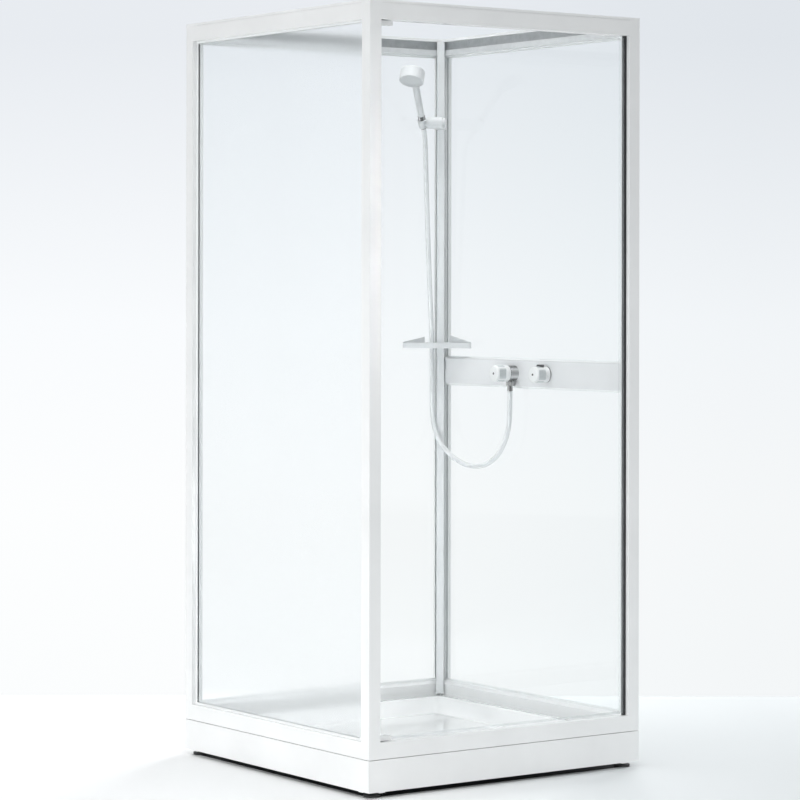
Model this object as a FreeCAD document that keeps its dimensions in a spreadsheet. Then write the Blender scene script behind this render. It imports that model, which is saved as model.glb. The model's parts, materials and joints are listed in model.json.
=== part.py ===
import FreeCAD, Part
import math
import os
import re
import Sketcher
from FreeCAD import Placement, Rotation, Vector

# A free-standing square shower cabin, in millimetres.
# +Z is up and the origin is on the floor under the middle of the cabin.
# The door side faces -Y, the frosted wall -X, the mixer wall +X, and the plain rear wall +Y.

os.makedirs("parts", exist_ok=True)
doc = FreeCAD.newDocument("ShowerCabin")

# Driving dimensions, by the piece that carries them
SIZES = {
    # cabin
    "cabin_width": 900, "cabin_depth": 900, "cabin_height": 2045, "frame_bottom": 99,
    # posts and rails
    "post_side": 36, "profile_wall": 2, "profile_corner": 1.5,
    "groove_centre": 18, "groove_width": 10, "groove_depth": 12,
    "top_rail_height": 42, "top_rail_flush": 17, "top_rail_recess": 12, "cap_height": 8, "cap_seam": 1.5,
    "bottom_rail_height": 43, "bottom_rail_inner": 36, "step_bottom": 5, "step_top": 17, "step_recess": 2,
    "plug_plate": 2, "plug_depth": 10, "plug_clearance": 0.1,
    # glass and its rubber channels
    "glass_thickness": 6, "glass_bite": 10, "seal_lip": 6,
    # door
    "door_gap_hinge": 3, "door_running_gap": 0.5, "pivot_inset": 25,
    "shoe_length": 40, "shoe_thickness": 14, "shoe_cover": 9, "shoe_base": 3,
    "pin_radius": 4, "pin_length": 10, "pin_clearance": 0.05,
    "bush_radius": 7.5, "bush_length": 9, "bush_flange_radius": 10, "bush_flange": 1.5,
    "closing_seal": 6, "closing_gap": 0.5, "door_seal_cover": 6, "door_seal_wall": 1.5, "drip_seal_gap": 0.5,
    "magnet_proud": 8, "magnet_width": 9,
    # tray
    "tray_inset": 14, "tray_wall": 5, "tray_apron": 35, "tray_corner": 14, "rim_inset": 52,
    "floor_inset": 117, "floor_drop": 37, "floor_fall": 4, "fall_inset": 140,
    "basin_corner": 30, "basin_foot": 12, "basin_rim": 3,
    "drain_square": 80, "drain_recess_radius": 68, "drain_recess": 5,
    # waste
    "cover_radius": 65, "cover_thickness": 2, "cover_dome": 1, "cover_edge": 0.5, "cover_lift": 2,
    "cover_rib_radius": 45, "cover_rib_wall": 2,
    "flange_radius": 60, "flange_bore": 33, "flange_thickness": 2, "sleeve_length": 17, "sleeve_wall": 3,
    "sleeve_clearance": 0.5, "trap_radius": 55, "trap_wall": 3, "trap_bottom": 7,
    "outlet_radius": 20, "outlet_wall": 3, "outlet_height": 27.5, "outlet_reach": 120,
    "outlet_stop": 76, "stop_ring_radius": 23, "stop_ring": 2,
    "insert_radius": 32.5, "insert_wall": 2, "insert_depth": 34, "insert_rim_radius": 38, "insert_rim": 1.5,
    # base frame
    "bracket_inset": 20, "bracket_side": 26, "bracket_wall": 3, "bracket_bottom": 28, "bracket_floor": 6,
    "beam_side": 25, "beam_wall": 2, "cross_beam_offset": 160,
    "foot_radius": 22, "foot_pad": 6, "foot_dome": 4, "foot_neck_radius": 9,
    "foot_nut_height": 8, "foot_nut_across": 17, "stud_radius": 5, "stud_top": 62, "stud_clearance": 0.05,
    # skirt panels
    "skirt_bottom": 15, "skirt_gap": 1.5, "skirt_sheet": 2, "skirt_top_lip": 12, "skirt_bottom_lip": 8,
    "mitre_gap": 0.2, "clip_offset": 46, "clip_width": 18, "clip_lug": 3, "clip_lug_reach": 14,
    "clip_clearance": 0.3, "clip_height": 22,
    # mixer strip and mixer
    "strip_bottom": 1026, "strip_height": 74, "mixer_middle": -13, "inlet_spacing": 150,
    "barrel_radius": 18, "barrel_length": 14, "socket_radius": 12, "socket_depth": 9,
    "bar_radius": 10, "bar_overhang": 24, "bar_setback": 11,
    "inlet_radius": 10.5, "inlet_length": 12, "inlet_collar_radius": 13,
    "inlet_bore": 7, "inlet_bore_depth": 15, "inlet_hole": 17,
    "valve_radius": 23, "valve_edge": 2, "flow_valve_length": 28, "thermostat_length": 4,
    "spigot_clearance": 0.1, "boss_radius": 10, "boss_drop": 25, "boss_offset": 14.5,
    "stem_radius": 4, "stem_length": 12, "stem_clearance": 0.05, "stem_end_gap": 0.5,
    "knob_radius": 23.5, "knob_length": 46, "knob_edge": 5, "knob_gap": 0.5,
    "scoop_depth": 2.5, "scoop_length": 26, "scoop_height": 23, "scoop_start": 6,
    "dot_radius": 2.2, "dot_depth": 1,
    "button_radius": 11, "button_proud": 5, "button_dome": 3, "button_sunk": 7, "button_clearance": 0.3,
    "button_offset": 28, "button_travel": 3,
    # corner rail, and the slider and holder on it
    "rail_width": 22, "rail_front": 20, "rail_flange": 3, "rail_waist": 16, "rail_wall": 2,
    "rail_bottom": 106, "rail_top_gap": 9,
    "slider_drop": 252, "slider_radius": 17, "slider_reach": 78, "slider_right": 15.5, "slider_left": 31,
    "jaw_side": 15.5, "jaw_hook": 3, "jaw_clearance": 0.3,
    "clamp_radius": 14, "clamp_length": 8, "clamp_gap": 0.3, "clamp_edge": 2,
    "clamp_stem_radius": 4, "clamp_stem_length": 12, "tilt_pin_radius": 6, "tilt_pin_length": 10,
    "tilt_plate_radius": 10, "tilt_gap": 0.3,
    "holder_side": 45, "holder_lean": 32, "holder_yaw": 9, "holder_wall": 2.5,
    "holder_below": 14, "holder_above": 12, "socket_top": 11.2, "socket_bottom": 9.8,
    # hand shower
    "nut_clearance": 0.2, "nut_collar_radius": 10.8, "nut_collar": 12, "nut_below": 17,
    "handle_bottom_radius": 10, "handle_top_radius": 10.5, "handle_short": 12, "head_reach": 148,
    "head_radius": 36, "head_front": 35, "head_back": 3, "head_edge": 7, "head_lip": 2.5, "head_tilt": 58,
    "head_wall": 3, "spray_recess": 1.5, "spray_thickness": 3, "spray_gap": 0.2,
    "spray_ring_radius": 24, "spray_ring_width": 2, "spray_ring_depth": 1,
    # hose
    "hose_radius": 7, "hose_bend_share": 0.45, "hose_loop_drop": 226, "hose_corner_side": 25,
    "hose_corner_reach": 19, "hose_top_side": 43, "hose_top_reach": 39, "hose_top_drop": 58, "hose_entry": 22,
    "lower_nut_across": 24, "lower_nut_height": 11, "ferrule_radius": 8, "ferrule_length": 15,
    # corner shelf
    "shelf_height": 1146, "shelf_reach": 90.5, "shelf_glass_gap": 2, "shelf_lip": 16, "shelf_lip_wall": 4,
    "shelf_floor": 4, "shelf_dish": 4, "shelf_rim": 4, "shelf_rise": 20, "shelf_tip": 5,
    "shelf_jaw_side": 15.5, "shelf_notch": 32,
    # cuts run past the surfaces that they open
    "overrun": 1,
}

sheet = doc.addObject("Spreadsheet::Sheet", "Sizes")
for row, (alias, number) in enumerate(SIZES.items(), start=1):
    sheet.set(f"A{row}", alias)
    sheet.set(f"B{row}", str(number))
    sheet.setAlias(f"B{row}", alias)
doc.recompute()

FORMULA_WORDS = ("cos", "sin", "tan", "sqrt")
UP = Vector(0, 0, 1)


def formula(text):
    """The text, with the name of each size made a reference to the sheet."""
    def refer(word):
        return word[0] if word[0] in FORMULA_WORDS else "Sizes." + word[0]
    return re.sub(r"[a-z][a-z_0-9]*", refer, text)


def value(text):
    """What a formula of named sizes comes to."""
    result = sheet.evalExpression(text)
    return float(getattr(result, "Value", result))


def bind(thing, **formulas):
    """Ties properties to formulas. Two underscores in a property's name stand for a dot."""
    for path, text in formulas.items():
        thing.setExpression(path.replace("__", "."), formula(text))


def put(thing, x="0", y="0", z="0", rotation=Rotation()):
    """Places a thing by formulas, turned by a rotation."""
    thing.Placement = Placement(Vector(), rotation)
    bind(thing, Placement__Base__x=x, Placement__Base__y=y, Placement__Base__z=z)
    return thing


def about_z(degrees):
    return Rotation(UP, degrees)


# Turns that carry a piece's own Z axis: along +Y, along +X and along -X (in that one, own X points up)
TO_REAR = Rotation(Vector(1, 0, 0), -90)
OUTWARDS = Rotation(Vector(0, 1, 0), 90)
INWARDS = Rotation(Vector(0, 1, 0), -90)
# Turns of the corner rail's own axes, of the leaning holder in them, and of the head on its handle
FACE_CORNER = about_z(135)
LEAN = about_z(-value("holder_yaw")) * Rotation(Vector(1, 0, 0), -value("holder_lean"))
HEAD_TILT = Rotation(Vector(1, 0, 0), value("head_tilt"))


# Helpers for sketched pieces

def new_body(name):
    body = doc.addObject("PartDesign::Body", name)
    body.Label = name
    return body


def new_sketch(body, name, plane, height=None):
    """A sketch on one of the body's own planes, or above it by a formula."""
    sketch = body.newObject("Sketcher::SketchObject", body.Name + "_" + name)
    face = [item for item in body.Origin.OriginFeatures if item.Role == plane][0]
    sketch.AttachmentSupport = [(face, "")]
    sketch.MapMode = "FlatFace"
    if height:
        bind(sketch, AttachmentOffset__Base__z=height)
    return sketch


def hold_point(sketch, geometry, end, x, y):
    """Holds one point of a sketch at two formulas, measured from the sketch's origin."""
    for kind, text in (("DistanceX", x), ("DistanceY", y)):
        number = sketch.addConstraint(Sketcher.Constraint(kind, -1, 1, geometry, end, value(text)))
        sketch.setExpression(f"Constraints[{number}]", formula(text))


def outline(sketch, points):
    """A closed outline of straight lines through points given as pairs of formulas."""
    places = [Vector(value(x), value(y), 0) for x, y in points]
    following = places[1:] + places[:1]
    lines = sketch.addGeometry([Part.LineSegment(a, b) for a, b in zip(places, following)], False)
    for line, after in zip(lines, lines[1:] + lines[:1]):
        sketch.addConstraint(Sketcher.Constraint("Coincident", line, 2, after, 1))
    for line, (x, y) in zip(lines, points):
        hold_point(sketch, line, 1, x, y)


def rectangle(sketch, left, right, bottom, top):
    outline(sketch, [(left, bottom), (right, bottom), (right, top), (left, top)])


def circle(sketch, x, y, radius):
    ring = sketch.addGeometry(Part.Circle(Vector(value(x), value(y), 0), UP, value(radius)), False)
    hold_point(sketch, ring, 3, x, y)
    number = sketch.addConstraint(Sketcher.Constraint("Radius", ring, value(radius)))
    sketch.setExpression(f"Constraints[{number}]", formula(radius))


def pad(body, sketch, length):
    feature = body.newObject("PartDesign::Pad", sketch.Name + "_pad")
    feature.Profile = sketch
    bind(feature, Length=length)
    return feature


def pocket(body, sketch, length, upwards=False):
    feature = body.newObject("PartDesign::Pocket", sketch.Name + "_pocket")
    feature.Profile = sketch
    feature.Reversed = upwards
    bind(feature, Length=length)
    return feature


def turned(name, points):
    """A body turned about its own Z axis from an outline of radius and height formulas."""
    body = new_body(name)
    sketch = new_sketch(body, "profile", "XZ_Plane")
    outline(sketch, points)
    feature = body.newObject("PartDesign::Revolution", name + "_turned")
    feature.Profile = sketch
    feature.ReferenceAxis = (sketch, ["V_Axis"])
    feature.Angle = 360
    return body


def same(first, second):
    return abs(first - second) < 0.01


def is_upright(edge):
    return same(edge.BoundBox.XLength, 0) and same(edge.BoundBox.YLength, 0)


def at(edge, x, y):
    """Whether the middle of an edge lies over a place."""
    return same(edge.BoundBox.Center.x, x) and same(edge.BoundBox.Center.y, y)


def is_ring(radius, height):
    """A test for the round edges of a radius whose centre is at a height."""
    def test(edge):
        curve = edge.Curve
        return isinstance(curve, Part.Circle) and same(curve.Radius, value(radius)) \
            and same(curve.Center.z, value(height))
    return test


def edges_where(shape, test):
    return [f"Edge{number}" for number, edge in enumerate(shape.Edges, start=1) if test(edge)]


def round_edges(body, radius, test):
    """Rounds the edges of a body's last feature that pass a test."""
    doc.recompute()
    base = body.Tip
    feature = body.newObject("PartDesign::Fillet", f"{body.Name}_rounding_{len(body.Group)}")
    feature.Base = (base, edges_where(base.Shape, test))
    bind(feature, Radius=radius)
    return feature


def added(body, kind, name, x="0", y="0", z="0", rotation=Rotation(), **formulas):
    """A plain solid added to a body or cut from it, such as AdditiveCylinder or SubtractiveBox."""
    feature = body.newObject("PartDesign::" + kind, body.Name + "_" + name)
    put(feature, x, y, z, rotation)
    bind(feature, **formulas)
    return feature


# Helpers for pieces made of plain solids

def box(name, length, width, height, x, y, z, rotation=Rotation()):
    solid = doc.addObject("Part::Box", name)
    bind(solid, Length=length, Width=width, Height=height)
    return put(solid, x, y, z, rotation)


def cylinder(name, radius, height, x, y, z, rotation=Rotation()):
    solid = doc.addObject("Part::Cylinder", name)
    bind(solid, Radius=radius, Height=height)
    return put(solid, x, y, z, rotation)


def cone(name, bottom_radius, top_radius, height, x="0", y="0", z="0", rotation=Rotation()):
    solid = doc.addObject("Part::Cone", name)
    bind(solid, Radius1=bottom_radius, Radius2=top_radius, Height=height)
    return put(solid, x, y, z, rotation)


def cut(name, base, tool):
    result = doc.addObject("Part::Cut", name)
    result.Base = base
    result.Tool = tool
    return result


def fused(name, *pieces):
    result = doc.addObject("Part::MultiFuse", name)
    result.Shapes = list(pieces)
    return result


def group(name, *pieces):
    """Several separate solids that share one node."""
    result = doc.addObject("Part::Compound", name)
    result.Links = list(pieces)
    return result


nodes = []


def keep(thing):
    """Marks a finished piece for writing, under its own label."""
    nodes.append(thing)
    return thing


# Places on the four walls. Each wall has a length axis along it, and a depth inwards from its outer face.

WALLS = {"front": 0, "right": 90, "rear": 180, "left": 270}
HALF_WIDTH = "(cabin_width / 2)"
HALF_DEPTH = "(cabin_depth / 2)"
GROOVE_OUT = "(groove_centre - groove_width / 2)"
GROOVE_IN = "(groove_centre + groove_width / 2)"
TOP_RAIL_BOTTOM = "(cabin_height - cap_height - top_rail_height)"
SILL_TOP = "(frame_bottom + bottom_rail_height)"
STRIP_MIDDLE = "(strip_bottom + strip_height / 2)"
SLIDER_HEIGHT = "(cabin_height - slider_drop)"


def wall_length(wall):
    """Clear length between the posts of a wall."""
    return "(cabin_width - 2 * post_side)" if wall in ("front", "rear") else "(cabin_depth - 2 * post_side)"


def wall_point(wall, along, depth):
    """Formulas for the place of a point on a wall: along from the first post, and in from the outer face."""
    places = {
        "front": (f"-{HALF_WIDTH} + post_side + ({along})", f"-{HALF_DEPTH} + ({depth})"),
        "right": (f"{HALF_WIDTH} - ({depth})", f"-{HALF_DEPTH} + post_side + ({along})"),
        "rear": (f"{HALF_WIDTH} - post_side - ({along})", f"{HALF_DEPTH} - ({depth})"),
        "left": (f"-{HALF_WIDTH} + ({depth})", f"{HALF_DEPTH} - post_side - ({along})"),
    }
    return places[wall]


def wall_box(name, wall, length, thickness, height, along, depth, z):
    x, y = wall_point(wall, along, depth)
    return box(name, length, thickness, height, x, y, z, about_z(WALLS[wall]))


# Corner posts: one extrusion with two glass grooves and four chambers

def make_post(name, x, y, turn):
    body = new_body(name)
    section = new_sketch(body, "section", "XY_Plane")
    far = "post_side - profile_wall"
    floor = "(post_side - groove_depth)"
    outline(section, [
        ("0", "0"), ("post_side", "0"), ("post_side", GROOVE_OUT), (floor, GROOVE_OUT), (floor, GROOVE_IN),
        ("post_side", GROOVE_IN), ("post_side", "post_side"), (GROOVE_IN, "post_side"), (GROOVE_IN, floor),
        (GROOVE_OUT, floor), (GROOVE_OUT, "post_side"), ("0", "post_side"),
    ])
    before_groove = f"{GROOVE_OUT} - profile_wall"
    past_groove = f"{GROOVE_IN} + profile_wall"
    rectangle(section, "profile_wall", far, "profile_wall", before_groove)
    rectangle(section, "profile_wall", before_groove, GROOVE_OUT, far)
    rectangle(section, GROOVE_OUT, f"{floor} - profile_wall", GROOVE_OUT, f"{floor} - profile_wall")
    rectangle(section, past_groove, far, past_groove, far)
    pad(body, section, "cabin_height - frame_bottom - plug_plate")
    round_edges(body, "profile_corner", lambda edge: is_upright(edge) and at(edge, 0, 0))
    put(body, x, y, "frame_bottom", about_z(turn))
    return keep(body)


POSTS = {
    "front_left": (f"-{HALF_WIDTH}", f"-{HALF_DEPTH}", 0),
    "front_right": (HALF_WIDTH, f"-{HALF_DEPTH}", 90),
    "rear_right": (HALF_WIDTH, HALF_DEPTH, 180),
    "rear_left": (f"-{HALF_WIDTH}", HALF_DEPTH, 270),
}


def make_post_plugs():
    """A plate over each post, with a stub in the post's middle chamber."""
    plugs = []
    near_side = f"({GROOVE_OUT} + plug_clearance)"
    far_side = "post_side - groove_depth - profile_wall - plug_clearance"
    for corner, (x, y, turn) in POSTS.items():
        plate = box(f"plug_plate_{corner}", "post_side", "post_side", "plug_plate", "0", "0", "plug_depth")
        stub = box(f"plug_stub_{corner}", f"{far_side} - {near_side}", f"{far_side} - {near_side}",
                   "plug_depth", near_side, near_side, "0")
        plug = fused(f"post_plug_{corner}", plate, stub)
        plugs.append(put(plug, x, y, "cabin_height - plug_plate - plug_depth", about_z(turn)))
    return keep(group("post_plugs", *plugs))


# Rails between the posts

TOP_RECESSED = "(post_side - top_rail_recess)"
BOTTOM_STEP = "(post_side - step_recess)"


def top_rail_outline(glazed):
    groove = [(GROOVE_OUT, "0"), (GROOVE_OUT, "groove_depth"), (GROOVE_IN, "groove_depth"), (GROOVE_IN, "0")]
    return [("0", "0")] + (groove if glazed else []) + [
        ("post_side", "0"), ("post_side", "top_rail_flush"), (TOP_RECESSED, "top_rail_flush"),
        (TOP_RECESSED, "top_rail_height"), ("0", "top_rail_height"),
    ]


def bottom_rail_outline(glazed):
    groove_floor = "bottom_rail_height - groove_depth"
    groove = [(GROOVE_IN, groove_floor), (GROOVE_OUT, groove_floor), (GROOVE_OUT, "bottom_rail_height")]
    return [
        ("0", "0"), ("post_side", "0"), ("post_side", "step_bottom"), (BOTTOM_STEP, "step_bottom"),
        (BOTTOM_STEP, "step_top"), ("post_side", "step_top"), ("post_side", "bottom_rail_inner"),
        (GROOVE_IN, "bottom_rail_height"),
    ] + (groove if glazed else []) + [("0", "bottom_rail_height")]


def cut_chambers(section, chambers):
    for left, right, bottom, top in chambers:
        rectangle(section, left, right, bottom, top)


def place_rail(body, wall, z):
    x, y = wall_point(wall, "0", "0")
    put(body, x, y, z, about_z(WALLS[wall]))
    return keep(body)


def make_top_rail(wall):
    glazed = wall != "front"
    body = new_body("top_rail_" + wall)
    section = new_sketch(body, "section", "YZ_Plane")
    outline(section, top_rail_outline(glazed))
    top = "top_rail_height - profile_wall"
    inner = f"{TOP_RECESSED} - profile_wall"
    if glazed:
        cut_chambers(section, [
            ("profile_wall", f"{GROOVE_OUT} - profile_wall", "profile_wall", top),
            (GROOVE_OUT, inner, "groove_depth + profile_wall", top),
            (f"{GROOVE_IN} + profile_wall", "post_side - profile_wall", "profile_wall", "groove_depth"),
        ])
    else:
        cut_chambers(section, [
            ("profile_wall", "post_side - profile_wall", "profile_wall", "top_rail_flush - profile_wall"),
            ("profile_wall", inner, "top_rail_flush", top),
        ])
    pad(body, section, wall_length(wall))
    if not glazed:
        hole = new_sketch(body, "bush_hole", "XY_Plane")
        circle(hole, "pivot_inset", "groove_centre", "bush_radius")
        pocket(body, hole, "profile_wall + overrun", upwards=True)
    return place_rail(body, wall, TOP_RAIL_BOTTOM)


def make_bottom_rail(wall):
    glazed = wall != "front"
    body = new_body("bottom_rail_" + wall)
    section = new_sketch(body, "section", "YZ_Plane")
    outline(section, bottom_rail_outline(glazed))
    inner = f"{BOTTOM_STEP} - profile_wall"
    if glazed:
        cut_chambers(section, [
            ("profile_wall", f"{GROOVE_OUT} - profile_wall", "profile_wall", "bottom_rail_height - profile_wall"),
            (GROOVE_OUT, inner, "profile_wall", "bottom_rail_height - groove_depth - profile_wall"),
        ])
    else:
        cut_chambers(section, [("profile_wall", inner, "profile_wall", "bottom_rail_inner - profile_wall")])
    pad(body, section, wall_length(wall))
    if not glazed:
        hole = new_sketch(body, "bush_hole", "XY_Plane", "bottom_rail_height")
        circle(hole, "pivot_inset", "groove_centre", "bush_radius")
        pocket(body, hole, "bush_length")
    return place_rail(body, wall, "frame_bottom")


def make_top_caps():
    """Cover strips with a small rebate that shows as a dark seam over the rail."""
    caps = []
    for wall, turn in WALLS.items():
        strip = box(f"cap_strip_{wall}", wall_length(wall), "post_side", "cap_height", "0", "0", "0")
        rebate = box(f"cap_rebate_{wall}", f"{wall_length(wall)} + 2 * overrun", "cap_seam + overrun",
                     "cap_seam + overrun", "-overrun", "-overrun", "-overrun")
        x, y = wall_point(wall, "0", "0")
        cap = cut(f"top_cap_{wall}", strip, rebate)
        caps.append(put(cap, x, y, "cabin_height - cap_height", about_z(turn)))
    return keep(group("top_caps", *caps))


# Glass panes, each with a rubber channel round its edge

PANE_DEPTH = "groove_centre - glass_thickness / 2"


def make_pane(name, wall, bottom, top):
    """A pane held in the grooves from one height to another."""
    return keep(wall_box(
        name, wall, f"{wall_length(wall)} + 2 * glass_bite", "glass_thickness",
        f"{top} - {bottom} + 2 * glass_bite", "-glass_bite", PANE_DEPTH, f"{bottom} - glass_bite"))


def make_channel(name, pane, wall, bottom, top):
    """A rubber channel that fills the groove round a pane and shows as a narrow lip."""
    ring = wall_box(
        name + "_outside", wall, f"{wall_length(wall)} + 2 * groove_depth", "groove_width",
        f"{top} - {bottom} + 2 * groove_depth", "-groove_depth", GROOVE_OUT, f"{bottom} - groove_depth")
    opening = wall_box(name + "_opening", wall, f"{wall_length(wall)} - 2 * seal_lip",
                       "groove_width + 2 * overrun", f"{top} - {bottom} - 2 * seal_lip", "seal_lip",
                       f"{GROOVE_OUT} - overrun", f"{bottom} + seal_lip")
    return cut(name, cut(name + "_ring", ring, opening), pane)


def make_walls():
    strip_top = "(strip_bottom + strip_height)"
    left = make_pane("left_pane", "left", SILL_TOP, TOP_RAIL_BOTTOM)
    rear = make_pane("rear_pane", "rear", SILL_TOP, TOP_RAIL_BOTTOM)
    lower = make_pane("right_pane_lower", "right", SILL_TOP, "strip_bottom")
    upper = make_pane("right_pane_upper", "right", strip_top, TOP_RAIL_BOTTOM)
    keep(make_channel("left_pane_seal", left, "left", SILL_TOP, TOP_RAIL_BOTTOM))
    keep(make_channel("rear_pane_seal", rear, "rear", SILL_TOP, TOP_RAIL_BOTTOM))
    lower_seal = make_channel("lower_channel", lower, "right", SILL_TOP, "strip_bottom")
    upper_seal = make_channel("upper_channel", upper, "right", strip_top, TOP_RAIL_BOTTOM)
    keep(group("right_pane_seals", lower_seal, upper_seal))


# Door: a pane that turns on two pins near the near post

DOOR_LEFT = f"(-{HALF_WIDTH} + post_side + door_gap_hinge)"
DOOR_RIGHT = f"({HALF_WIDTH} - post_side - magnet_proud - closing_gap - closing_seal)"
DOOR_BOTTOM = f"({SILL_TOP} + bush_flange + door_running_gap + shoe_base)"
DOOR_TOP = f"({TOP_RAIL_BOTTOM} - bush_flange - door_running_gap - shoe_base)"
DOOR_MIDDLE = f"(-{HALF_DEPTH} + groove_centre)"
PIVOT_X = f"(-{HALF_WIDTH} + post_side + pivot_inset)"


def make_door_pane():
    return keep(box("door_pane", f"{DOOR_RIGHT} - {DOOR_LEFT}", "glass_thickness", f"{DOOR_TOP} - {DOOR_BOTTOM}",
                    DOOR_LEFT, f"{DOOR_MIDDLE} - glass_thickness / 2", DOOR_BOTTOM))


def make_pivot_shoe(name, pane, block_bottom, pin_bottom):
    """A clamp round the corner of the glass, with a pin that turns in the rail's bush."""
    block = box(name + "_block", "shoe_length", "shoe_thickness", "shoe_cover + shoe_base",
                DOOR_LEFT, f"{DOOR_MIDDLE} - shoe_thickness / 2", block_bottom)
    pin = cylinder(name + "_pin", "pin_radius", "pin_length + shoe_base", PIVOT_X, DOOR_MIDDLE, pin_bottom)
    return keep(cut(name, fused(name + "_solid", block, pin), pane))


def make_pivot_bush(name, shaft_bottom, flange_bottom, bore_bottom):
    """A flanged plastic bush for a door pin."""
    shaft = cylinder(name + "_shaft", "bush_radius", "bush_length", PIVOT_X, DOOR_MIDDLE, shaft_bottom)
    flange = cylinder(name + "_flange", "bush_flange_radius", "bush_flange", PIVOT_X, DOOR_MIDDLE, flange_bottom)
    bore = cylinder(name + "_bore", "pin_radius + pin_clearance", "bush_length + bush_flange + 2 * overrun",
                    PIVOT_X, DOOR_MIDDLE, bore_bottom)
    return cut(name, fused(name + "_solid", shaft, flange), bore)


def make_door_hardware(pane):
    shoe_bottom = f"{DOOR_BOTTOM} - shoe_base"
    make_pivot_shoe("door_pivot_shoe_lower", pane, shoe_bottom, f"{shoe_bottom} - pin_length")
    make_pivot_shoe("door_pivot_shoe_upper", pane, f"{DOOR_TOP} - shoe_cover", DOOR_TOP)
    under_sill = f"{SILL_TOP} - bush_length"
    under_head = f"{TOP_RAIL_BOTTOM} - bush_flange"
    lower = make_pivot_bush("lower_bush", under_sill, SILL_TOP, f"{under_sill} - overrun")
    upper = make_pivot_bush("upper_bush", TOP_RAIL_BOTTOM, under_head, f"{under_head} - overrun")
    keep(group("pivot_bushes", lower, upper))


def make_door_seals(pane):
    """Seals on the door's free edge and under it."""
    width = "glass_thickness + 2 * door_seal_wall"
    near_side = f"{DOOR_MIDDLE} - glass_thickness / 2 - door_seal_wall"
    edge = box("closing_seal_block", "closing_seal + door_seal_cover", width, f"{DOOR_TOP} - {DOOR_BOTTOM}",
               f"{DOOR_RIGHT} - door_seal_cover", near_side, DOOR_BOTTOM)
    keep(cut("door_closing_seal", edge, pane))
    start = f"{DOOR_LEFT} + shoe_length"
    length = f"{DOOR_RIGHT} - door_seal_cover - ({start})"
    channel = box("drip_seal_channel", length, width, "door_seal_cover + door_seal_wall",
                  start, near_side, f"{DOOR_BOTTOM} - door_seal_wall")
    lip = box("drip_seal_lip", length, "door_seal_wall", f"{DOOR_BOTTOM} - {SILL_TOP} - drip_seal_gap",
              start, near_side, f"{SILL_TOP} + drip_seal_gap")
    keep(cut("door_drip_seal", fused("drip_seal_solid", channel, lip), pane))


def make_frame_strips():
    """The magnetic strip that the door closes on, and the filler of the groove by the pivots."""
    height = f"{TOP_RAIL_BOTTOM} - {SILL_TOP}"
    span = wall_length("front")
    plug = wall_box("magnet_plug", "front", "groove_depth", "groove_width", height, span, GROOVE_OUT, SILL_TOP)
    face = wall_box("magnet_face", "front", "magnet_proud", "magnet_width", height,
                    f"{span} - magnet_proud", "groove_centre - magnet_width / 2", SILL_TOP)
    keep(fused("post_magnet_strip", plug, face))
    keep(wall_box("hinge_gap_strip", "front", "groove_depth", "groove_width", height,
                  "-groove_depth", GROOVE_OUT, SILL_TOP))


# Shower tray: a shell with a rim, an apron and a bowl that falls to the drain

FLOOR_TOP = "(frame_bottom - floor_drop)"
DRAIN_FLOOR = "(frame_bottom - floor_drop - floor_fall - drain_recess)"
TRAY_HOLE = "(flange_bore + sleeve_wall + sleeve_clearance)"


def inset_sketch(body, name, inset, height):
    """A rectangle set in from the cabin's outline, at a height."""
    sketch = new_sketch(body, name, "XY_Plane", height)
    rectangle(sketch, f"{inset} - {HALF_WIDTH}", f"{HALF_WIDTH} - ({inset})",
              f"{inset} - {HALF_DEPTH}", f"{HALF_DEPTH} - ({inset})")
    return sketch


def loft(body, kind, name, first, last):
    feature = body.newObject("PartDesign::" + kind, body.Name + "_" + name)
    feature.Profile = first
    feature.Sections = [last]
    feature.Ruled = True
    return feature


def make_tray():
    body = new_body("shower_tray")
    pad(body, inset_sketch(body, "outside", "tray_inset", "frame_bottom - tray_apron"), "tray_apron")
    round_edges(body, "tray_corner", is_upright)
    hollow = inset_sketch(body, "hollow", "tray_inset + tray_wall", "frame_bottom - tray_apron")
    pocket(body, hollow, "tray_apron - tray_wall", upwards=True)
    loft(body, "AdditiveLoft", "bowl",
         inset_sketch(body, "bowl_top", "rim_inset - tray_wall", "frame_bottom - tray_wall"),
         inset_sketch(body, "bowl_bottom", "floor_inset", DRAIN_FLOOR))
    loft(body, "SubtractiveLoft", "basin",
         inset_sketch(body, "basin_top", "rim_inset", "frame_bottom"),
         inset_sketch(body, "basin_bottom", "floor_inset", FLOOR_TOP))
    drop = value("floor_drop")
    top = value("frame_bottom")
    rim = value(f"{HALF_WIDTH} - rim_inset + overrun")

    def is_basin_corner(edge):
        return same(edge.BoundBox.ZLength, drop) and same(edge.BoundBox.ZMax, top)

    def is_foot(edge):
        return same(edge.BoundBox.ZMax, top - drop) and same(edge.BoundBox.ZLength, 0)

    def is_rim(edge):
        middle = edge.BoundBox.Center
        return same(middle.z, top) and max(abs(middle.x), abs(middle.y)) < rim

    round_edges(body, "basin_corner", is_basin_corner)
    round_edges(body, "basin_foot", is_foot)
    round_edges(body, "basin_rim", is_rim)
    fall_bottom = new_sketch(body, "fall_bottom", "XY_Plane", f"{FLOOR_TOP} - floor_fall")
    rectangle(fall_bottom, "-drain_square", "drain_square", "-drain_square", "drain_square")
    loft(body, "SubtractiveLoft", "fall", inset_sketch(body, "fall_top", "fall_inset", FLOOR_TOP), fall_bottom)
    added(body, "AdditiveCylinder", "drain_boss", z=f"{DRAIN_FLOOR} - tray_wall",
          Radius="drain_recess_radius + tray_wall", Height="tray_wall")
    added(body, "SubtractiveCylinder", "drain_recess", z=DRAIN_FLOOR,
          Radius="drain_recess_radius", Height="drain_recess + floor_fall")
    added(body, "SubtractiveCylinder", "drain_hole", z=f"{DRAIN_FLOOR} - tray_wall - overrun",
          Radius=TRAY_HOLE, Height="tray_wall + 2 * overrun")
    keep(body)


# Waste: flange, lift-out insert, cover, and the trap under the tray

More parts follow.
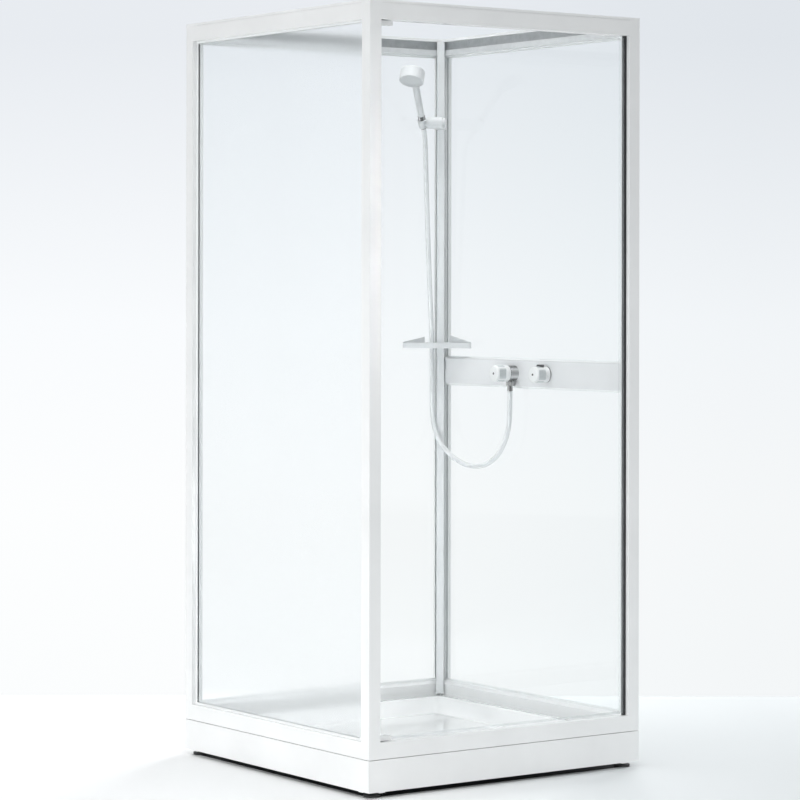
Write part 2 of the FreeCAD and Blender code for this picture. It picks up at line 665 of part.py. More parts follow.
def make_waste():
    flange = turned("waste_flange", [
        ("flange_bore", "-sleeve_length"), ("flange_bore + sleeve_wall", "-sleeve_length"),
        ("flange_bore + sleeve_wall", "0"), ("flange_radius", "0"), ("flange_radius", "flange_thickness"),
        ("flange_bore", "flange_thickness"),
    ])
    keep(put(flange, z=DRAIN_FLOOR))
    insert = turned("trap_insert", [
        ("insert_radius - insert_wall", "-insert_depth"), ("insert_radius", "-insert_depth"),
        ("insert_radius", "0"), ("insert_rim_radius", "0"), ("insert_rim_radius", "insert_rim"),
        ("insert_radius - insert_wall", "insert_rim"),
    ])
    keep(put(insert, z=f"{DRAIN_FLOOR} + flange_thickness"))
    cover = turned("drain_cover", [
        ("0", "cover_lift"), ("cover_rib_radius - cover_rib_wall", "cover_lift"),
        ("cover_rib_radius - cover_rib_wall", "0"), ("cover_rib_radius", "0"),
        ("cover_rib_radius", "cover_lift"), ("cover_radius", "cover_lift"),
        ("cover_radius", "cover_lift + cover_thickness - cover_edge"),
        ("cover_radius - cover_edge", "cover_lift + cover_thickness"),
        ("0", "cover_lift + cover_thickness + cover_dome"),
    ])
    keep(put(cover, z=f"{DRAIN_FLOOR} + flange_thickness"))


def make_trap():
    """A round trap cup right under the tray, with an outlet towards the rear that a pipe pushes on to."""
    top = f"({DRAIN_FLOOR} - tray_wall)"
    body = turned("trap_body", [
        ("0", "trap_bottom"), ("trap_radius", "trap_bottom"), ("trap_radius", top), (TRAY_HOLE, top),
        (TRAY_HOLE, f"{top} - trap_wall"), ("trap_radius - trap_wall", f"{top} - trap_wall"),
        ("trap_radius - trap_wall", "trap_bottom + trap_wall"), ("0", "trap_bottom + trap_wall"),
    ])
    added(body, "AdditiveCylinder", "outlet", y="trap_radius - trap_wall", z="outlet_height", rotation=TO_REAR,
          Radius="outlet_radius", Height="outlet_reach - trap_radius + trap_wall")
    added(body, "AdditiveCylinder", "stop_ring", y="outlet_stop - stop_ring", z="outlet_height",
          rotation=TO_REAR, Radius="stop_ring_radius", Height="stop_ring")
    inner = "(trap_radius - 2 * trap_wall - overrun)"
    added(body, "SubtractiveCylinder", "outlet_bore", y=inner, z="outlet_height", rotation=TO_REAR,
          Radius="outlet_radius - outlet_wall", Height=f"outlet_reach - {inner} + overrun")
    keep(body)


# Base: brackets, beams and levelling feet

BASE_X = f"({HALF_WIDTH} - bracket_inset - bracket_side / 2)"
BASE_Y = f"({HALF_DEPTH} - bracket_inset - bracket_side / 2)"
BRACKET_HEIGHT = "frame_bottom - tray_wall - bracket_bottom"
CORNERS = [(-1, -1), (1, -1), (1, 1), (-1, 1)]


def make_brackets():
    """Corner columns that carry the tray's rim, each an open box with a floor for the foot's stud."""
    brackets = []
    for number, (side_x, side_y) in enumerate(CORNERS, start=1):
        x = f"{side_x} * {BASE_X}"
        y = f"{side_y} * {BASE_Y}"
        block = box(f"bracket_block_{number}", "bracket_side", "bracket_side", BRACKET_HEIGHT,
                    f"{x} - bracket_side / 2", f"{y} - bracket_side / 2", "bracket_bottom")
        inner = "(bracket_side - 2 * bracket_wall)"
        hollow = box(f"bracket_hollow_{number}", inner, inner, BRACKET_HEIGHT,
                     f"{x} - {inner} / 2", f"{y} - {inner} / 2", "bracket_bottom + bracket_floor")
        hole = cylinder(f"bracket_hole_{number}", "stud_radius + stud_clearance", "bracket_floor + 2 * overrun",
                        x, y, "bracket_bottom - overrun")
        brackets.append(cut(f"bracket_{number}", block, fused(f"bracket_space_{number}", hollow, hole)))
    keep(group("corner_brackets", *brackets))


def make_beam(name, length, x, y, z, turn):
    """A square tube that starts at a place and runs along a turned X axis."""
    outside = box(name + "_outside", length, "beam_side", "beam_side", "0", "0", "0")
    inner = "beam_side - 2 * beam_wall"
    inside = box(name + "_inside", f"{length} + 2 * overrun", inner, inner, "-overrun", "beam_wall", "beam_wall")
    return put(cut(name, outside, inside), x, y, z, about_z(turn))


def make_beams():
    """Two cross beams under the tray's floor, hung from a beam between the brackets at the front and rear."""
    reach_x = f"({BASE_X} - bracket_side / 2)"
    reach_y = f"({BASE_Y} - bracket_side / 2)"
    upper = "bracket_bottom + beam_side"
    long = f"2 * {reach_x}"
    cross = f"2 * ({reach_y} + beam_side)"
    start = f"-{reach_y} - beam_side"
    keep(group(
        "base_beams",
        make_beam("front_beam", long, f"-{reach_x}", start, upper, 0),
        make_beam("rear_beam", long, f"-{reach_x}", reach_y, upper, 0),
        make_beam("left_beam", cross, "beam_side / 2 - cross_beam_offset", start, "bracket_bottom", 90),
        make_beam("right_beam", cross, "beam_side / 2 + cross_beam_offset", start, "bracket_bottom", 90),
    ))


def hexagon(sketch, across):
    """A hexagon from its width across the flats."""
    corner = f"{across} / 2 / cos(30)"
    outline(sketch, [(f"{corner} * cos({60 * turn})", f"{corner} * sin({60 * turn})") for turn in range(6)])


def make_foot(number, side_x, side_y):
    """A levelling foot: a pad, a threaded stud and the nut that carries the bracket."""
    body = turned(f"levelling_foot_{number}", [
        ("0", "0"), ("foot_radius", "0"), ("foot_radius", "foot_pad"),
        ("foot_neck_radius", "foot_pad + foot_dome"), ("stud_radius", "foot_pad + foot_dome"),
        ("stud_radius", "stud_top"), ("0", "stud_top"),
    ])
    nut = new_sketch(body, "nut", "XY_Plane", "bracket_bottom - foot_nut_height")
    hexagon(nut, "foot_nut_across")
    pad(body, nut, "foot_nut_height")
    keep(put(body, f"{side_x} * {BASE_X}", f"{side_y} * {BASE_Y}"))


# Skirt panels under the frame, and the clips that hold them

SKIRT_HEIGHT = "(frame_bottom - skirt_gap - skirt_bottom)"


def make_skirt(name, length, mitre, x, y, turn):
    """A folded sheet with a lip along its top and bottom, mitred where it meets the other panel."""
    body = new_body(name)
    section = new_sketch(body, "section", "YZ_Plane")
    outline(section, [
        ("0", "0"), ("skirt_bottom_lip", "0"), ("skirt_bottom_lip", "skirt_sheet"),
        ("skirt_sheet", "skirt_sheet"), ("skirt_sheet", f"{SKIRT_HEIGHT} - skirt_sheet"),
        ("skirt_top_lip", f"{SKIRT_HEIGHT} - skirt_sheet"), ("skirt_top_lip", SKIRT_HEIGHT), ("0", SKIRT_HEIGHT),
    ])
    pad(body, section, length)
    corner = new_sketch(body, "mitre", "XY_Plane")
    outline(corner, mitre)
    pocket(body, corner, SKIRT_HEIGHT, upwards=True)
    keep(put(body, x, y, "skirt_bottom", about_z(turn)))


def make_skirts():
    far = "skirt_top_lip + overrun"
    make_skirt("skirt_front", "cabin_width", [
        ("-overrun", "-overrun"), ("mitre_gap - overrun", "-overrun"),
        (f"mitre_gap + {far}", far), ("-overrun", far),
    ], f"-{HALF_WIDTH}", f"-{HALF_DEPTH}", 0)
    end = "cabin_depth + overrun"
    make_skirt("skirt_left", "cabin_depth", [
        (f"{end} - mitre_gap", "-overrun"), (end, "-overrun"),
        (end, far), (f"cabin_depth - mitre_gap - ({far})", far),
    ], f"-{HALF_WIDTH}", HALF_DEPTH, 270)


def make_clip(name, x, y, turn):
    """A block on a bracket that grips the panel's bottom lip from above and below."""
    body = new_body(name)
    section = new_sketch(body, "section", "YZ_Plane")
    front = "skirt_sheet + clip_clearance"
    web = "skirt_bottom_lip + clip_clearance"
    top = "skirt_bottom + skirt_sheet + clip_clearance"
    under = "skirt_bottom - clip_clearance"
    lug = "bracket_inset - clip_lug_reach"
    outline(section, [
        (front, top), (web, top), (web, under), (lug, under), (lug, f"{under} - clip_lug"),
        ("bracket_inset", f"{under} - clip_lug"), ("bracket_inset", f"{top} + clip_height"),
        (front, f"{top} + clip_height"),
    ])
    pad(body, section, "clip_width")
    return put(body, x, y, rotation=about_z(turn))


def make_clips():
    clips = []
    for number, side in enumerate((-1, 1), start=1):
        clips.append(make_clip(f"front_clip_{number}", f"{side} * ({HALF_WIDTH} - clip_offset) - clip_width / 2",
                               f"-{HALF_DEPTH}", 0))
        clips.append(make_clip(f"left_clip_{number}", f"-{HALF_WIDTH}",
                               f"{side} * ({HALF_DEPTH} - clip_offset) + clip_width / 2", 270))
    keep(group("skirt_clips", *clips))


# Mixer strip across the right wall, with the mixer inside it

INNER_X = f"({HALF_WIDTH} - post_side)"
INNER_Y = f"({HALF_DEPTH} - post_side)"
FLOW_Y = "(mixer_middle + inlet_spacing / 2)"
HEAT_Y = "(mixer_middle - inlet_spacing / 2)"


def make_control_strip():
    body = new_body("control_strip")
    section = new_sketch(body, "section", "YZ_Plane")
    upper_floor = "(strip_height - groove_depth)"
    outline(section, [
        ("0", "0"), (GROOVE_OUT, "0"), (GROOVE_OUT, "groove_depth"), (GROOVE_IN, "groove_depth"),
        (GROOVE_IN, "0"), ("post_side", "0"), ("post_side", "strip_height"), (GROOVE_IN, "strip_height"),
        (GROOVE_IN, upper_floor), (GROOVE_OUT, upper_floor), (GROOVE_OUT, "strip_height"), ("0", "strip_height"),
    ])
    rectangle(section, "profile_wall", "post_side - profile_wall",
              "groove_depth + profile_wall", f"{upper_floor} - profile_wall")
    pad(body, section, wall_length("right"))
    for name, centre in (("flow", FLOW_Y), ("heat", HEAT_Y)):
        along = f"{centre} + {INNER_Y}"
        added(body, "SubtractiveCylinder", name + "_valve_hole", along, "post_side - profile_wall - overrun",
              "strip_height / 2", TO_REAR, Radius="socket_radius", Height="profile_wall + 2 * overrun")
        added(body, "SubtractiveCylinder", name + "_inlet_hole", along, "-overrun",
              "strip_height / 2", TO_REAR, Radius="inlet_hole", Height="profile_wall + 2 * overrun")
    return place_rail(body, "right", "strip_bottom")


def make_mixer_body():
    """A bar with two barrels for the valves and two threaded inlets towards the outer face."""
    body = new_body("mixer_body")
    added(body, "AdditiveCylinder", "bar", y="-inlet_spacing / 2 - bar_overhang", z="bar_setback",
          rotation=TO_REAR, Radius="bar_radius", Height="inlet_spacing + 2 * bar_overhang")
    depth = "(post_side - profile_wall)"
    for name, side in (("flow", 1), ("heat", -1)):
        y = f"{side} * inlet_spacing / 2"
        added(body, "AdditiveCylinder", name + "_barrel", y=y, Radius="barrel_radius", Height="barrel_length")
        added(body, "AdditiveCylinder", name + "_collar", y=y,
              Radius="inlet_collar_radius", Height=f"{depth} - inlet_length")
        added(body, "AdditiveCylinder", name + "_inlet", y=y, Radius="inlet_radius", Height=depth)
        added(body, "SubtractiveCylinder", name + "_socket", y=y, z="-overrun",
              Radius="socket_radius", Height="socket_depth + overrun")
        added(body, "SubtractiveCylinder", name + "_inlet_bore", y=y, z=f"{depth} - inlet_bore_depth",
              Radius="inlet_bore", Height="inlet_bore_depth + overrun")
    keep(put(body, f"{INNER_X} + profile_wall", "mixer_middle", STRIP_MIDDLE, OUTWARDS))


def make_valve(name, length):
    """A chrome shroud on the strip, with a spigot in the mixer's socket."""
    inner_end = "-profile_wall - socket_depth"
    spigot = "socket_radius - spigot_clearance"
    body = turned(name, [
        ("0", inner_end), (spigot, inner_end), (spigot, "0"), ("valve_radius", "0"), ("valve_radius", length),
        ("0", length),
    ])
    round_edges(body, "valve_edge", is_ring("valve_radius", length))
    return body


def place_valve(body, length, y):
    """Bores the valve for its knob's stem, then puts it on the strip."""
    bore_floor = f"({length} + knob_gap - stem_length - stem_end_gap)"
    added(body, "SubtractiveCylinder", "stem_bore", z=bore_floor,
          Radius="stem_radius + stem_clearance", Height=f"{length} - {bore_floor} + overrun")
    keep(put(body, INNER_X, y, STRIP_MIDDLE, INWARDS))


def make_valves():
    flow = make_valve("flow_valve", "flow_valve_length")
    added(flow, "AdditiveCylinder", "outlet_boss", z="boss_offset", rotation=INWARDS,
          Radius="boss_radius", Height="boss_drop")
    place_valve(flow, "flow_valve_length", FLOW_Y)
    place_valve(make_valve("thermostat_ring", "thermostat_length"), "thermostat_length", HEAT_Y)


def make_knob(name):
    """A round knob with a stem, a flat scoop on each side and a small dot in its face."""
    body = turned(name, [
        ("0", "-stem_length + knob_gap"), ("stem_radius", "-stem_length + knob_gap"), ("stem_radius", "0"),
        ("knob_radius", "0"), ("knob_radius", "knob_length"), ("0", "knob_length"),
    ])
    round_edges(body, "knob_edge", is_ring("knob_radius", "knob_length"))
    start = "knob_length - scoop_start - scoop_length"
    for number, y in enumerate(("knob_radius - scoop_depth", "-knob_radius - overrun")):
        added(body, "SubtractiveBox", f"scoop_{number}", "-scoop_height / 2", y, start,
              Length="scoop_height", Width="scoop_depth + overrun", Height="scoop_length")
    added(body, "SubtractiveCylinder", "dot", z="knob_length - dot_depth",
          Radius="dot_radius", Height="dot_depth + overrun")
    return body


def make_knobs():
    flow = make_knob("flow_knob")
    keep(put(flow, f"{INNER_X} - flow_valve_length - knob_gap", FLOW_Y, STRIP_MIDDLE, INWARDS))
    heat = make_knob("temperature_knob")
    button_floor = "knob_radius - button_sunk - button_travel - button_clearance"
    added(heat, "SubtractiveCylinder", "button_pocket", button_floor, "0", "knob_length - button_offset",
          OUTWARDS, Radius="button_radius + button_clearance", Height=f"knob_radius - ({button_floor}) + overrun")
    keep(put(heat, f"{INNER_X} - thermostat_length - knob_gap", HEAT_Y, STRIP_MIDDLE, INWARDS))


def make_stop_button():
    """A domed button in the top of the temperature knob."""
    height = "button_sunk + button_proud"
    body = turned("stop_button", [("0", "0"), ("button_radius", "0"), ("button_radius", height), ("0", height)])
    round_edges(body, "button_dome", is_ring("button_radius", height))
    keep(put(body, f"{INNER_X} - thermostat_length - knob_gap - knob_length + button_offset", HEAT_Y,
             f"{STRIP_MIDDLE} + knob_radius - button_sunk"))


# Corner rail between the right and rear walls. Its own axes are side (towards the rear wall) and reach (inwards).

def corner_place(side, reach):
    return (f"{INNER_X} - (({side}) + ({reach})) / sqrt(2)", f"{INNER_Y} + (({side}) - ({reach})) / sqrt(2)")


def put_at_corner(thing, side="0", reach="0", z="0", rotation=Rotation()):
    x, y = corner_place(side, reach)
    return put(thing, x, y, z, FACE_CORNER * rotation)


def make_corner_rail():
    """A hollow rail with two flanges. Its V-shaped back seats in the corner of the frame."""
    body = new_body("corner_rail")
    section = new_sketch(body, "section", "XY_Plane")
    half = "rail_width / 2"
    waist = "rail_waist / 2"
    step = "rail_front - rail_flange"
    outline(section, [
        (f"-{half}", "rail_front"), (f"-{half}", step), (f"-{waist}", step), (f"-{waist}", waist), ("0", "0"),
        (waist, waist), (waist, step), (half, step), (half, "rail_front"),
    ])
    inner = f"({waist} - rail_wall)"
    slant = f"{inner} + rail_wall * sqrt(2)"
    outline(section, [
        (f"-{inner}", "rail_front - rail_wall"), (f"-{inner}", slant), ("0", "rail_wall * sqrt(2)"),
        (inner, slant), (inner, "rail_front - rail_wall"),
    ])
    pad(body, section, "cabin_height - rail_top_gap - rail_bottom")
    keep(put_at_corner(body, z="rail_bottom"))


JAW_BACK = "(rail_front - rail_flange - jaw_hook)"
JAW_STEP = "(rail_front - rail_flange - jaw_clearance)"
JAW_FRONT = "(rail_front + jaw_clearance)"


def jaw_points(side):
    """Outline of the channel round the rail, from the left jaw to the right one."""
    mouth = "(rail_waist / 2 + jaw_clearance)"
    channel = "(rail_width / 2 + jaw_clearance)"
    return [
        (f"-{side}", JAW_BACK), (f"-{mouth}", JAW_BACK), (f"-{mouth}", JAW_STEP), (f"-{channel}", JAW_STEP),
        (f"-{channel}", JAW_FRONT), (channel, JAW_FRONT), (channel, JAW_STEP), (mouth, JAW_STEP),
        (mouth, JAW_BACK), (side, JAW_BACK),
    ]


def make_slider():
    body = new_body("slider_body")
    section = new_sketch(body, "section", "XY_Plane", "-slider_radius")
    outline(section, jaw_points("jaw_side") + [("jaw_side", "slider_reach"), ("-jaw_side", "slider_reach")])
    pad(body, section, "2 * slider_radius")
    added(body, "AdditiveCylinder", "barrel", "-slider_right", "slider_reach", "0", OUTWARDS,
          Radius="slider_radius", Height="slider_right + slider_left")
    added(body, "SubtractiveCylinder", "clamp_bore", "-slider_right - overrun", "slider_reach", "0", OUTWARDS,
          Radius="clamp_stem_radius + stem_clearance", Height="clamp_stem_length + overrun")
    added(body, "SubtractiveCylinder", "tilt_bore", "slider_left - tilt_pin_length", "slider_reach", "0",
          OUTWARDS, Radius="tilt_pin_radius + stem_clearance", Height="tilt_pin_length + overrun")
    keep(put_at_corner(body, z=SLIDER_HEIGHT))


def make_slider_knob():
    body = turned("slider_knob", [
        ("0", "-clamp_stem_length"), ("clamp_stem_radius", "-clamp_stem_length"), ("clamp_stem_radius", "0"),
        ("clamp_radius", "0"), ("clamp_radius", "clamp_length"), ("0", "clamp_length"),
    ])
    round_edges(body, "clamp_edge", is_ring("clamp_radius", "clamp_length"))
    keep(put_at_corner(body, "-slider_right - clamp_gap", "slider_reach", SLIDER_HEIGHT, INWARDS))


def along_lean(distance):
    """Side, reach and height of a place on the leaning axis of the holder."""
    return (f"holder_side + ({distance}) * sin(holder_lean) * sin(holder_yaw)",
            f"slider_reach + ({distance}) * sin(holder_lean) * cos(holder_yaw)",
            f"{SLIDER_HEIGHT} + ({distance}) * cos(holder_lean)")


def make_holder():
    """A leaning conical cup on a pin that turns in the slider."""
    length = "holder_below + holder_above"
    outside = cone("holder_outside", "socket_bottom + holder_wall", "socket_top + holder_wall", length)
    put_at_corner(outside, *along_lean("-holder_below"), LEAN)
    plate = cylinder("holder_plate", "tilt_plate_radius", "holder_side - slider_left - tilt_gap", "0", "0", "0")
    put_at_corner(plate, "slider_left + tilt_gap", "slider_reach", SLIDER_HEIGHT, OUTWARDS)
    pin = cylinder("holder_pin", "tilt_pin_radius", "tilt_pin_length + tilt_gap", "0", "0", "0")
    put_at_corner(pin, "slider_left + tilt_gap - tilt_pin_length", "slider_reach", SLIDER_HEIGHT, OUTWARDS)
    inside = cone("holder_inside", "socket_bottom", "socket_top", length)
    put_at_corner(inside, *along_lean("-holder_below"), LEAN)
    keep(cut("handset_holder", fused("holder_solid", outside, plate, pin), inside))


# Hand shower. Its own Z axis runs up the handle, from the middle of the holder's cup.

HEAD_CROSSING = "(holder_above + nut_collar + head_reach)"


def head_place(distance):
    """Y and Z formulas for a place on the head's axis, measured towards the spray side."""
    return f"({distance}) * sin(head_tilt)", f"{HEAD_CROSSING} - ({distance}) * cos(head_tilt)"


def in_head(body, kind, name, distance, radius, height):
    y, z = head_place(distance)
    return added(body, kind, name, y=y, z=z, rotation=HEAD_TILT, Radius=radius, Height=height)


def make_hand_shower():
    body = new_body("hand_shower")
    in_head(body, "AdditiveCylinder", "head", "head_front", "head_radius", "head_front + head_back")
    round_edges(body, "head_edge", is_ring("head_radius", head_place("-head_back")[1]))
    round_edges(body, "head_lip", is_ring("head_radius", head_place("head_front")[1]))
    added(body, "AdditiveCone", "handle", z="holder_above + nut_collar",
          Radius1="handle_bottom_radius", Radius2="handle_top_radius", Height="head_reach - handle_short")
    in_head(body, "SubtractiveCylinder", "spray_seat", "head_front + overrun", "head_radius - head_wall",
            "spray_recess + spray_thickness + overrun")
    in_head(body, "SubtractiveCylinder", "cavity", "head_front", "head_radius - 2 * head_wall",
            "head_front + head_back - head_wall")
    keep(put_at_corner(body, "holder_side", "slider_reach", SLIDER_HEIGHT, LEAN))


def make_spray_face():
    body = new_body("spray_face")
    outer = "head_front - spray_recess"
    middle = "spray_ring_radius - spray_ring_width"
    in_head(body, "AdditiveCylinder", "plate", outer, "head_radius - head_wall - spray_gap", "spray_thickness")
    in_head(body, "SubtractiveCylinder", "ring", f"{outer} + overrun",
            "spray_ring_radius", "spray_ring_depth + overrun")
    in_head(body, "AdditiveCylinder", "middle", outer, middle, "spray_ring_depth")
    keep(put_at_corner(body, "holder_side", "slider_reach", SLIDER_HEIGHT, LEAN))


def make_upper_nut():
    """The hose's cone nut, which sits in the holder's cup under the handle."""
    bottom = "socket_bottom - nut_clearance"
    body = turned("hose_nut_upper", [
        ("0", "-nut_below"), (bottom, "-nut_below"), (bottom, "-holder_below"),
        ("socket_top - nut_clearance", "holder_above"), ("nut_collar_radius", "holder_above"),
        ("nut_collar_radius", "holder_above + nut_collar"), ("0", "holder_above + nut_collar"),
    ])
    keep(put_at_corner(body, "holder_side", "slider_reach", SLIDER_HEIGHT, LEAN))


# Hose, with its lower nut on the flow valve's outlet

HOSE_X = f"({INNER_X} - boss_offset)"
OUTLET_Z = f"({STRIP_MIDDLE} - boss_drop)"
HOSE_Z = f"({OUTLET_Z} - lower_nut_height - ferrule_length)"


def make_lower_nut():
    body = new_body("hose_nut_lower")
    nut = new_sketch(body, "nut", "XY_Plane", "ferrule_length")
    hexagon(nut, "lower_nut_across")
    pad(body, nut, "lower_nut_height")
    added(body, "AdditiveCylinder", "ferrule", Radius="ferrule_radius", Height="ferrule_length")
    keep(put(body, HOSE_X, FLOW_Y, HOSE_Z))


# The hanging loop: shares of the way from the outlet to the corner, and of the loop's drop
HOSE_LOOP_SHARES = [
    (0, 0.26), (0.019, 0.527), (0.1235, 0.796), (0.2555, 0.938), (0.421, 1), (0.598, 0.969),
    (0.75, 0.876), (0.883, 0.739), (0.9565, 0.566), (0.994, 0.385), (1, 0.05),
]
# The rise along the corner rail: shares of the way sideways, inwards and up
HOSE_RISE_SHARES = [(0.3, 0.3, 0.245), (0.58, 0.57, 0.5), (0.83, 0.81, 0.757), (0.95, 0.93, 0.917), (1, 1, 1)]


def corner_point(side, reach, height):
    x, y = corner_place(side, reach)
    return Vector(value(x), value(y), value(height))


def hose_route():
    """Points of the hose from the lower nut, round its loop and up to the nut of the hand shower."""
    outlet = Vector(value(HOSE_X), value(FLOW_Y), value(HOSE_Z))
    corner = corner_point("hose_corner_side", "hose_corner_reach", "shelf_height")
    points = [outlet]
    for across, down in HOSE_LOOP_SHARES:
        point = outlet + (corner - outlet) * across
        point.z = outlet.z - down * value("hose_loop_drop")
        points.append(point)
    points.append(corner)
    for sideways, inwards, up in HOSE_RISE_SHARES:
        points.append(corner_point(
            f"hose_corner_side + {sideways} * (hose_top_side - hose_corner_side)",
            f"hose_corner_reach + {inwards} * (hose_top_reach - hose_corner_reach)",
            f"shelf_height + {up} * ({SLIDER_HEIGHT} - hose_top_drop - shelf_height)"))
    points.append(corner_point(*along_lean("-nut_below - hose_entry")))
    points.append(corner_point(*along_lean("-nut_below")))
    return points


def rounded_route(points):
    """The edges of straight runs joined by arcs that touch both runs."""
    edges = []
    radii = []
    start = points[0]
    for before, corner, after in zip(points, points[1:], points[2:]):
        arriving = corner - before
        leaving = after - corner
        half_turn = arriving.getAngle(leaving) / 2
        reach = value("hose_bend_share") * min(arriving.Length, leaving.Length)
        radius = reach / math.tan(half_turn)
        arriving.normalize()
        leaving.normalize()
        inwards = (leaving - arriving).normalize()
        centre = corner + inwards * (radius / math.cos(half_turn))
        arc = Part.Arc(corner - arriving * reach, centre - inwards * radius, corner + leaving * reach)
        edges.append(Part.LineSegment(start, arc.StartPoint).toShape())
        edges.append(arc.toShape())
        start = arc.EndPoint
        radii.append(radius)
    edges.append(Part.LineSegment(start, points[-1]).toShape())
    return edges, radii


def make_hose():
    points = hose_route()
    edges, radii = rounded_route(points)
    path = Part.Wire(edges)
    ring = Part.Wire(Part.Circle(points[0], points[1] - points[0], value("hose_radius")).toShape())
    hose = doc.addObject("Part::Feature", "hose")
    hose.Shape = path.makePipeShell([ring], True, False)
    keep(hose)
    expected = path.Length * math.pi * value("hose_radius") ** 2
    print("hose length", round(path.Length, 1), "volume share", round(hose.Shape.Volume / expected, 4))
    print("hose radii", [round(radius) for radius in radii])
    for point in points:
        print("hose point", round(point.x, 2), round(point.y, 2), round(point.z, 2))


# Corner shelf: a white tray that clips round the rail below the slider

SHELF_SIDE = "((post_side - groove_centre - glass_thickness / 2 - shelf_glass_gap) * sqrt(2))"


def shelf_edge(reach):
    """How far to the side the shelf goes at a distance from the corner."""
    return f"({reach} + {SHELF_SIDE})"


def make_shelf():
    body = new_body("corner_shelf")
    rim = "(shelf_rim * sqrt(2))"
    plan = new_sketch(body, "plan", "XY_Plane")
    outline(plan, [(f"-{shelf_edge(JAW_BACK)}", JAW_BACK)] + jaw_points("shelf_jaw_side") + [
        ("shelf_jaw_side", "shelf_notch"), (shelf_edge("shelf_notch"), "shelf_notch"),
        (shelf_edge("shelf_reach"), "shelf_reach"), (f"-{shelf_edge('shelf_reach')}", "shelf_reach"),
    ])
    pad(body, plan, "shelf_lip")
    rims = new_sketch(body, "rims", "XY_Plane", "shelf_lip")
    for sign, back in (("", "shelf_notch"), ("-", JAW_BACK)):
        outline(rims, [
            (f"{sign}{shelf_edge(back)}", back), (f"{sign}{shelf_edge('shelf_reach')}", "shelf_reach"),
            (f"{sign}({shelf_edge('shelf_reach')} - {rim})", "shelf_reach"),
            (f"{sign}({shelf_edge(back)} - {rim})", back),
        ])
    pad(body, rims, "shelf_rise")
    slope = new_sketch(body, "slope", "XZ_Plane")
    high = "shelf_lip + shelf_rise"
    for sign in ("", "-"):
        outline(slope, [
            (f"{sign}{shelf_edge(JAW_BACK)}", high), (f"{sign}{shelf_edge('shelf_reach')}", "shelf_lip"),
            (f"{sign}({shelf_edge('shelf_reach')} + overrun)", "shelf_lip"),
            (f"{sign}({shelf_edge('shelf_reach')} + overrun)", f"{high} + overrun"),
            (f"{sign}{shelf_edge(JAW_BACK)}", f"{high} + overrun"),
        ])
    pocket(body, slope, "shelf_reach + overrun")
    front = "shelf_reach - shelf_lip_wall"
    back = f"{JAW_FRONT} + shelf_lip_wall"
    notch = "shelf_notch + shelf_lip_wall"
    hollows = (
        ("dish", "shelf_lip", "shelf_dish", False),
        ("underside", "0", "shelf_lip - shelf_dish - shelf_floor", True),
    )
    for name, height, depth, upwards in hollows:
        hollow = new_sketch(body, name, "XY_Plane", height)
        outline(hollow, [
            (f"-({shelf_edge(front)} - {rim})", front), (f"{shelf_edge(front)} - {rim}", front),
            (f"{shelf_edge(notch)} - {rim}", notch), ("shelf_jaw_side + shelf_lip_wall", notch),
            ("shelf_jaw_side + shelf_lip_wall", back), (f"-({shelf_edge(back)} - {rim})", back),
        ])
        pocket(body, hollow, depth, upwards=upwards)
    half = value(shelf_edge("shelf_reach"))
    round_edges(body, "shelf_tip", lambda edge: is_upright(edge) and same(abs(edge.BoundBox.Center.x), half))
    keep(put_at_corner(body, z="shelf_height - shelf_lip"))


# Build every piece

for corner_name, (corner_x, corner_y, corner_turn) in POSTS.items():
    make_post("post_" + corner_name, corner_x, corner_y, corner_turn)
for wall_name in WALLS:
    make_top_rail(wall_name)
    make_bottom_rail(wall_name)
make_top_caps()
make_post_plugs()
make_walls()
door_pane = make_door_pane()
make_door_hardware(door_pane)
make_door_seals(door_pane)
make_frame_strips()
make_tray()
make_waste()
make_trap()
make_brackets()
make_beams()
for foot_number, (foot_side_x, foot_side_y) in enumerate(CORNERS, start=1):
    make_foot(foot_number, foot_side_x, foot_side_y)
make_skirts()
make_clips()
make_control_strip()
make_mixer_body()
make_valves()
make_knobs()
make_stop_button()
make_corner_rail()
make_slider()
make_slider_knob()
make_holder()
make_hand_shower()
make_spray_face()
make_upper_nut()
make_lower_nut()
make_hose()
make_shelf()
doc.recompute()

# Check everything, then write one file for each piece

for item in doc.Objects:
    if "Invalid" in item.State or "Error" in item.State:
        raise RuntimeError(f"{item.Label} is not valid: {item.State}")
for node in nodes:
    if node.Shape.isNull() or not node.Shape.isValid():
        raise RuntimeError(f"{node.Label} has no valid shape")
    node.Shape.exportStep(f"parts/{node.Label}.step")
print(len(nodes), "pieces written")
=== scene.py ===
import json
import math

import bmesh
import bpy
from mathutils import Matrix, Vector


